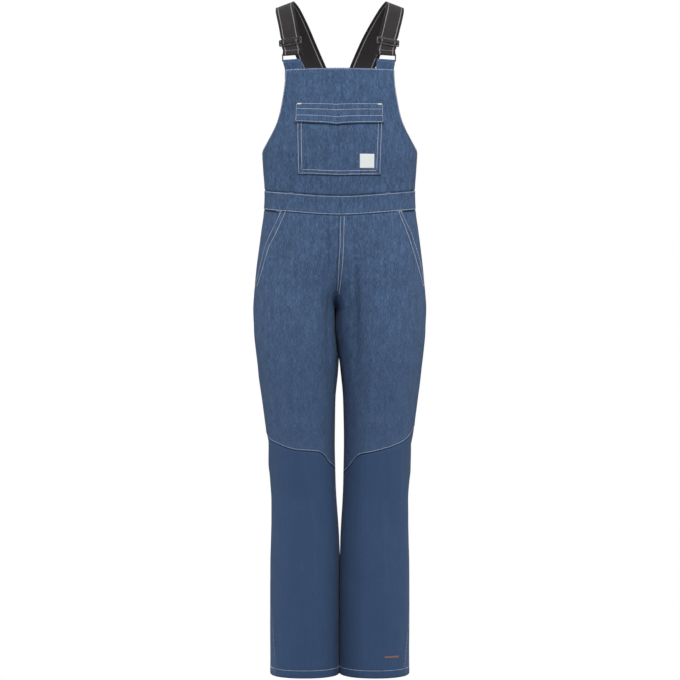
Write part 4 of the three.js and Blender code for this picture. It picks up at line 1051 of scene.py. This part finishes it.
# ---------------------------------------------------------------- straps, sliders, rings and tabs
strap_s = [0.0]
for a, b in zip(STRAP, STRAP[1:]):
    strap_s.append(strap_s[-1] + math.dist(a[:3], b[:3]))
strap_curve = [Curve([(s, row[k]) for s, row in zip(strap_s, STRAP)]) for k in range(8)]
RING_S, SLIDER_S, STRAP_END = strap_s[1], strap_s[2], strap_s[-1]


def strap_frame(side, s):
    def point(at):
        out = strap_curve[0](at) - (strap_curve[6](at) if side > 0 else 0)
        return np.array([side * out, strap_curve[1](at), strap_curve[2](at)], float)
    along = unit(point(s + .5) - point(s - .5))
    yaw, roll = np.radians(strap_curve[3](s)), np.radians(strap_curve[4](s))
    width = np.array([side * np.cos(yaw) * np.cos(roll), np.sin(yaw) * np.cos(roll), -np.sin(roll)])
    width = unit(width - along * (width @ along))
    out = np.cross(along, width) * -side
    level = math.radians(float(strap_curve[7](s)))
    along, width = along * math.cos(level) - width * math.sin(level), width * math.cos(level) + along * math.sin(level)
    return point(s), along, width, out, float(strap_curve[5](s))


SLIDER = dict(width=50, height=14, thick=2.6, outer=2.4, middle=2.8, side=3.8)
RING = dict(width=45.5, height=16, thick=2.2, bar=2.2, side=1.9)
half_web = WEBBING / 2
behind_bar = -(SLIDER["thick"] / 2 + SEAM + half_web)
over_bar = SLIDER["thick"] / 2 + SEAM + half_web
window = SLIDER["middle"] / 2 + (SLIDER["height"] / 2 - SLIDER["outer"] - SLIDER["middle"] / 2) / 2
bar_reach = math.hypot(RING["thick"], RING["bar"]) / 2 + SEAM
fold = bar_reach + half_web
ring_top = RING["height"] / 2 - RING["bar"] / 2
THREADING = [
    ("free", 26, 0), ("free", 15, behind_bar + .6), ("slider", 9, behind_bar), ("slider", 5.4, behind_bar),
    ("slider", window + .7, behind_bar + .3), ("slider", window, behind_bar + 1.2), ("slider", window, over_bar - 1.2),
    ("slider", window - .7, over_bar - .3), ("slider", 0, over_bar), ("slider", -window + .7, over_bar - .3),
    ("slider", -window, over_bar - 1.2), ("slider", -window, behind_bar + 1.2), ("slider", -window - .7, behind_bar + .3),
    ("slider", -5.4, behind_bar), ("slider", -9, behind_bar), ("ring", ring_top + 8, .6), ("ring", ring_top + 3.5, fold),
    ("ring", ring_top, fold), ("ring", ring_top - fold * .7, fold * .7), ("ring", ring_top - fold, 0),
    ("ring", ring_top - fold * .7, -fold * .7), ("ring", ring_top, -fold), ("ring", ring_top + 3.5, -fold),
    ("ring", ring_top + 10, -fold - .3),
]


def rounded(rows, times=2):
    """Cuts the corners of a line of points, or of whole rows of them, keeping both ends."""
    rows = np.asarray(rows, float)
    for _ in range(times):
        a, b = rows[:-1], rows[1:]
        mid = np.stack([.75 * a + .25 * b, .25 * a + .75 * b], 1).reshape(-1, *rows.shape[1:])
        rows = np.concatenate([rows[:1], mid[1:-1], rows[-1:]])
    return rows


def tape(name, rows, width, thick, materials, across=21, times=2, crown=0.0):
    """A flat woven tape through rows of points across it, with rounded selvedges. Returns the piece, its middle grid and normals."""
    rows = rounded(rows, times)
    n = rows.shape[1]
    u = np.linspace(-1, 1, n)
    ends = np.array([0, .25, .7, 1.4]) / (width / 2)
    fine = np.unique(np.concatenate([-1 + ends, np.linspace(-1 + ends[-1], 1 - ends[-1], across), 1 - ends]))
    grid_ = np.stack([np.stack([np.interp(fine, u, row[:, k]) for k in range(3)], -1) for row in rows])
    along = unit(np.gradient(grid_, axis=0))
    across_ = unit(np.gradient(grid_, axis=1))
    normal = unit(np.cross(along, across_))
    d = (1 - abs(fine)) * width / 2
    h = thick / 2 * np.sqrt(np.clip(1 - np.clip(1 - d / .7, 0, 1) ** 2, .05, 1))
    lift = crown * (1 - fine**2)
    s = np.concatenate([[0], np.cumsum(np.linalg.norm(np.diff(grid_[:, len(fine) // 2], axis=0), axis=-1))])
    uv = np.stack(np.broadcast_arrays(fine[None, :] * width / 200, s[:, None] / 100), -1)
    o = closed_wall(name, grid_ + normal * (lift + h)[None, :, None], grid_ + normal * (lift - h)[None, :, None], uv, materials)
    return o, grid_, normal, fine


def hardware(name, node, material, edge_material, bevel):
    """The CAD part's shape again with its edges eased."""
    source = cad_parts[node]
    o = bpy.data.objects.new(name, source.data.copy())
    bpy.context.scene.collection.objects.link(o)
    o.data.materials.clear()
    o.data.materials.append(material)
    o.data.materials.append(edge_material)
    import bmesh
    b = bmesh.new()
    b.from_mesh(o.data)
    bmesh.ops.remove_doubles(b, verts=b.verts, dist=1e-6)
    bmesh.ops.dissolve_limit(b, angle_limit=math.radians(1.5), verts=b.verts, edges=b.edges)
    b.to_mesh(o.data)
    b.free()
    o.data.polygons.foreach_set("material_index", np.zeros(len(o.data.polygons), np.int32))
    m = o.modifiers.new("ease", "BEVEL")
    m.width, m.segments, m.limit_method, m.angle_limit = bevel / 1000, 3, "ANGLE", math.radians(25)
    # the bevel faces take the second material; on the slider that is a light grey painted highlight
    m.use_clamp_overlap = True
    m.material = 1
    dg = bpy.context.evaluated_depsgraph_get()
    mesh = bpy.data.meshes.new_from_object(o.evaluated_get(dg))
    o.modifiers.clear()
    o.data = mesh
    mesh.polygons.foreach_set("use_smooth", np.ones(len(mesh.polygons), bool))
    mesh.set_sharp_from_angle(angle=math.radians(50))
    return o


strap_thread = Thread("strap_stitching")
tab_thread = Thread("tab_stitching")
for side in (1, -1):
    name = NAME[side]
    rows = []
    cells = 9
    us = np.linspace(-1, 1, cells)
    out12, out13 = (STRAP[k][0] - (STRAP[k][6] if side > 0 else 0) for k in (12, 13))
    slope_in = (out12 - out13) / (STRAP[12][2] - STRAP[13][2])
    for z in (-224, -212, -200, -192):
        middle = out13 + slope_in * (z - STRAP[13][2])
        reach = STRAP[13][5] / 2 / math.cos(math.atan(slope_in))
        x = np.linspace(max(middle - reach, SEAM), middle + reach, cells)
        t = turn_at(x, z, True)
        rows.append(surface(side, t, z) - outward(side, t, z) * (CLOTH + LAY + WEBBING / 2))

    def across(fr, lift):
        return np.stack([fr[0] + fr[2] * u * fr[4] / 2 + fr[3] * lift for u in us])

    for i in range(20):
        s = STRAP_END - 12 + (SLIDER_S + 32 - (STRAP_END - 12)) * i / 19
        rows.append(across(strap_frame(side, s), 0))
    for kind, s, out in THREADING:
        fr = list(strap_frame(side, RING_S if kind == "ring" else SLIDER_S + (s if kind == "free" else 0)))
        if kind != "free":
            fr[0] = fr[0] + fr[1] * s
        rows.append(across(fr, out))
    o, mid, normal, fine = tape(f"strap_{name}_webbing", rows, 41, WEBBING, (webbing,), times=3)
    finish_piece(o, f"strap_{name}")

    finish_piece(hardware(f"slider_{name}_plastic", f"slider_{name}", plastic, plastic_painted_highlight, .8), f"slider_{name}")
    finish_piece(hardware(f"ring_{name}_metal", f"ring_{name}", painted, painted, .7), f"ring_{name}")

    # The fold at the ring is sewn to itself across the strap, below the slider
    middle, along, width, out, wide = strap_frame(side, RING_S)
    u = np.linspace(-.9, .9, 60)[:, None]
    line = middle + along * (ring_top + 7.2) + width * u * wide / 2 + out * (half_web + 1.5)
    strap_thread.add(line, np.repeat(out[None, :], 60, 0), radius=.4, rise=.35, dive=.3)

    bend = bar_reach + TAB_CLOTH / 2
    front_in = CLOTH + LAY + TAB_CLOTH / 2
    back_in = front_in + TAB_CLOTH + SEAM
    TAB = [("bib", -172, front_in), ("bib", -160, front_in), ("bib", -149, front_in), ("ring", -13, bend), ("ring", -ring_top, bend),
           ("ring", -ring_top + bend * .7, bend * .7), ("ring", -ring_top + bend, 0), ("ring", -ring_top + bend * .7, -bend * .7),
           ("ring", -ring_top, -bend), ("ring", -13, -bend), ("bib", -149, back_in), ("bib", -160, back_in), ("bib", -172, back_in)]
    rows = []
    for kind, z, out_ in TAB:
        if kind == "bib":
            yaw = math.radians(STRAP[0][3])
            x = STRAP[0][0] + (-0.9 if side > 0 else 0.9) + us * TAB_WIDTH * math.cos(yaw) / 2
            t = turn_at(x, z)
            rows.append(surface(side, t, z) - outward(side, t, z) * out_)
        else:
            rows.append(np.stack([middle + along * z + width * u_ * TAB_WIDTH / 2 + out * out_ for u_ in us]))
    o, mid, normal, fine = tape(f"tab_{name}_cloth", rows, TAB_WIDTH, TAB_CLOTH, (upper,), times=2)
    finish_piece(o, f"tab_{name}")
    # a row of stitches down each side of the tab's front
    for u_ in (-.9, .9):
        z = np.linspace(-151.5, -149, 4)
        low = np.array([np.interp(u_, us, rows[2][:, k]) for k in range(3)])
        high = middle + along * (-ring_top) + width * u_ * TAB_WIDTH / 2 + out * bend
        s = np.linspace(0.06, 1, 14)[:, None]
        base = low + (high - low) * s
        tab_thread.add(base + out * (TAB_CLOTH / 2), np.repeat(out[None, :], 14, 0))

# ---------------------------------------------------------------- stitching
bib = Thread("bib_stitching")
band = Thread("waistband_stitching")


def signed_line(t0, t1, zf, n=240):
    """A line across the centre from turn t0 on the right to t1 on the left."""
    t = np.linspace(-t0, t1, n)
    return np.where(t < 0, -1.0, 1.0), abs(t), zf(abs(t))


EDGE_ROW = 2.3
bib.on(*signed_line(.278, .278, lambda t: BIB_TOP - EDGE_ROW + 0 * t))
for side in (1, -1):
    z = edge_z[(edge_z < BIB_TOP - 1) & (edge_z > UNDERARM + .6)]
    t = np.interp(-z, -edge_z, edge_t)
    bib.on(float(side), shifted(t, z, -EDGE_ROW), z - EDGE_ROW * smooth((-z - 280) / 34))
    # pocket: two rows down each side and along the foot
    for inset in (EDGE_ROW, 9.2):
        z = np.linspace(-262, -371.5 + inset, 60)
        t = shifted(pocket_edges[side](z), z, -inset)
        bib.on(float(side), t, pocket_foot(float(side) * t / pocket_edges[side](z), z), lift=LAY + PATCH + .1)
for inset in (EDGE_ROW, 9.2):
    z0 = -371.5 + inset
    k_ = inset / 90
    g_ = np.linspace(-1 + k_, 1 - k_, 260)
    bib.on(sides(g_), pocket_turn(g_, z0), pocket_foot(g_, z0 + 0 * g_), lift=LAY + PATCH + .1)
# flap: along four rows and down both ends
for row in (-224.0, -234.6, -247.6, -259.6):
    s_, t_, z_, lift_ = flap_at(np.linspace(-.977, .977, 300), row + 0 * np.linspace(0, 1, 300))
    bib.add(lifted(s_, t_, z_, lift_ - .05), outward(s_, t_, z_))
for side in (1, -1):
    s_, t_, z_, lift_ = flap_at(np.full(30, .977 * side), np.linspace(-224.2, -259.4, 30))
    bib.add(lifted(s_, t_, z_, lift_ - .05), outward(s_, t_, z_))
# back bib: round its edge, and two rows where each strap's tail is sewn in
t = np.linspace(.503, .889, 200)
for side in (1, -1):
    zz = armhole_back(t)
    slope = np.gradient(zz, t * 540)
    bib.on(float(side), shifted(t, zz, EDGE_ROW * slope / np.sqrt(1 + slope**2)), zz - EDGE_ROW / np.sqrt(1 + slope**2))
s = np.linspace(-.11, .11, 60)
bib.on(np.where(s < 0, -1.0, 1.0), 1 - abs(s), armhole_back(1 - abs(s)) - EDGE_ROW)
for side in (1, -1):
    for z0 in (-193.4, -214.0):
        x = np.linspace(3, 41, 20)
        bib.on(float(side), turn_at(x, z0, True), z0 + 0 * x)

# waistband: a row along both edges, all round
for zf, back in ((lambda t: waist_top(t) - SEAM / 2 - 2.0, False), (lambda t: waist_bottom(t) + SEAM / 2 + 2.0, False)):
    band.on(*signed_line(.4965, .4965, zf, 400))
for z0 in (WAIST_TOP - SEAM / 2 - 2.0, WAIST_BOTTOM + SEAM / 2 + 2.0):
    s = np.linspace(-.4965, .4965, 400)
    band.on(np.where(s < 0, -1.0, 1.0), 1 - abs(s), z0 + 0 * s)

legs = {}
for side in (1, -1):
    th = legs[side] = Thread(f"leg_stitching_{NAME[side]}")
    # slant pocket: two rows inside the mouth, down to where they run into the side seam
    z = np.linspace(-441, -606, 90)
    th.on(float(side), shifted(np.minimum(slant[side](z), .5), z, -EDGE_ROW), z, lift=.05)
    z = np.linspace(-442.5, -598, 90)
    th.on(float(side), slant_row[side](z), z, lift=.3)
    # knee seam
    t = np.linspace(.012, .494, 160)
    th.on(float(side), t, knee[side](t) + SEAM / 2 + 2.2, radius=.27)
    # a row beside the lower end of the side seam
    z = np.linspace(-1268, HEM + 18, 90)
    th.on(float(side), shifted(outseam[side](z), z, -2.4), z, radius=.3 if side == 1 else .2)
    # hem, all round
    z0 = HEM + 16.0
    a, b = float(inseam(z0)), float(outseam[side](z0))
    t = np.linspace(a + .004, b - .004, 160)
    th.on(float(side), t, z0 + 0 * t, radius=.26)
    t = np.linspace(b + .004, 1 + a - .004, 160)
    th.on(float(side), t, z0 + 0 * t, radius=.26)
    # centre back, one row each side of the seam
    z = np.linspace(WAIST_BOTTOM - 3, -632, 60)
    th.on(float(side), shifted(np.full(z.shape, 1.0), z, -3.0), z)
# centre front: two rows on the wearer's left piece
for inset in (3.0, 10.2):
    z = np.linspace(-455.5, -608 if inset < 5 else -614, 80)
    c = centre(z)
    t = c + inset * (1 - .35 * smooth((-z - 540) / 90)) / speed(np.zeros(z.shape), z)
    legs[1].on(1.0, np.where(abs(t) < 6e-4, 6e-4, t), z)

# bartacks at the flap's two upper corners
tacks = Thread("bartacks")
for side in (1, -1):
    s_, t_, z_, lift_ = (float(v) for v in flap_at(np.array(side * .925), np.array(-224.6)))
    tacks.tack(s_, t_, z_, 8.5, lift=lift_ + .1, width=3.4)

pieces = {
    "bib": bib.make(topstitch, "denim_softshell"),
    "band": band.make(topstitch, "denim_softshell"),
    "left": legs[1].make(topstitch, "denim_softshell"),
    "right": legs[-1].make(topstitch, "denim_softshell"),
    "tacks": tacks.make(tack_thread, "denim_softshell"),
    "strap": strap_thread.make(grey_thread, "webbing"),
    "tab": tab_thread.make(topstitch, "denim_softshell"),
}

# A plain orange bar near the hem, and the label's own row of stitches
t0, z0 = float(turn_at(108, -1365)), -1365.0
t = shifted(np.full(41, t0), z0, np.linspace(-16.5, 16.5, 41))
z = z0 + np.linspace(1.8, -1.8, 9)
bar = cloth("hem_bar_print", 1.0, t[None, :], z[:, None], ("none",) * 4, (orange,), lift=.34, thick=.3)
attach(bar, "root")

label_thread = Thread("label_stitching")
for z0 in (-328.9, -355.3):
    x = np.linspace(42.1, 68.8, 30)
    label_thread.on(1.0, turn_at(x, z0 + 0 * x), z0 + 0 * x, lift=2 * LAY + PATCH + LABEL, pitch=2.2, length=1.8, radius=.2, rise=.12, dive=.25)
for x0 in (42.1, 68.8):
    z = np.linspace(-328.9, -355.3, 30)
    label_thread.on(1.0, turn_at(x0 + 0 * z, z), z, lift=2 * LAY + PATCH + LABEL, pitch=2.2, length=1.8, radius=.2, rise=.12, dive=.25)
pieces["label"] = label_thread.make(thread_material("label_thread", srgb(235, 236, 236)), "woven_label")

# ---------------------------------------------------------------- camera, light and floor
scene = bpy.context.scene
cam_data = bpy.data.cameras.new("camera")
cam = bpy.data.objects.new("camera", cam_data)
scene.collection.objects.link(cam)
cam.location = (0.00042, -5.0, -0.710)
cam.rotation_euler = (math.radians(90), 0, 0)
cam_data.sensor_width, cam_data.lens = 36, 126.05
cam_data.clip_start, cam_data.clip_end = 0.1, 60
scene.camera = cam

scene.view_settings.view_transform = "Standard"
scene.view_settings.look = "None"

world = bpy.data.worlds.new("studio")
scene.world = world
world.use_nodes = True
wt = world.node_tree
soft_box = wt.nodes["Background"]
soft_box.inputs[0].default_value = (1, 1, 1, 1)
soft_box.inputs[1].default_value = 0.15
backdrop = wt.nodes.new("ShaderNodeBackground")
backdrop.inputs[0].default_value = (1, 1, 1, 1)
backdrop.inputs[1].default_value = 1.0
choose, seen = wt.nodes.new("ShaderNodeMixShader"), wt.nodes.new("ShaderNodeLightPath")
wt.links.new(seen.outputs["Is Camera Ray"], choose.inputs[0])
wt.links.new(soft_box.outputs[0], choose.inputs[1])
wt.links.new(backdrop.outputs[0], choose.inputs[2])
wt.links.new(choose.outputs[0], wt.nodes["World Output"].inputs[0])

floor_mesh = bpy.data.meshes.new("floor")
R = 2.0
ring_ = [(R * math.cos(a), R * math.sin(a), 0) for a in np.linspace(0, 2 * math.pi, 97)[:-1]]
floor_mesh.from_pydata(ring_, [], [tuple(range(96))])
floor = bpy.data.objects.new("floor", floor_mesh)
floor.location = (0, 0, -1.45)
scene.collection.objects.link(floor)
k = Nodes("pale_floor")
k.set(Base_Color=(0.6, 0.6, 0.6, 1), Roughness=0.9)
white, pick, seen = k.new("ShaderNodeEmission", {"Color": (1, 1, 1, 1), "Strength": 1.0}), k.new("ShaderNodeMixShader"), k.new("ShaderNodeLightPath")
k.t.links.new(seen.outputs["Is Camera Ray"], pick.inputs[0])
k.t.links.new(k.shader.outputs[0], pick.inputs[1])
k.t.links.new(white.outputs[0], pick.inputs[2])
k.t.links.new(pick.outputs[0], k.t.nodes["Material Output"].inputs[0])
floor_mesh.materials.append(k.m)


def area_light(name, at, size, power, towards=(0, 0, -.7), colour=(1, 1, 1)):
    d = bpy.data.lights.new(name, "AREA")
    d.shape, d.size, d.size_y, d.energy, d.color = "RECTANGLE", size[0], size[1], power, colour
    o = bpy.data.objects.new(name, d)
    o.location = at
    o.rotation_euler = (Vector(towards) - Vector(at)).to_track_quat("-Z", "Y").to_euler()
    scene.collection.objects.link(o)
    return o


area_light("key", (.2, -2.95, 2.05), (.85, 1.0), 134)
area_light("fill", (3.2, -2.0, .4), (1.6, 2.4), 24)
area_light("rim_left", (-3.0, .1, -.2), (.9, 2.4), 40)
area_light("rim_right", (2.9, .5, -.2), (.9, 2.4), 22)
area_light("back", (0, 3.4, .6), (2.4, 2.0), 50)
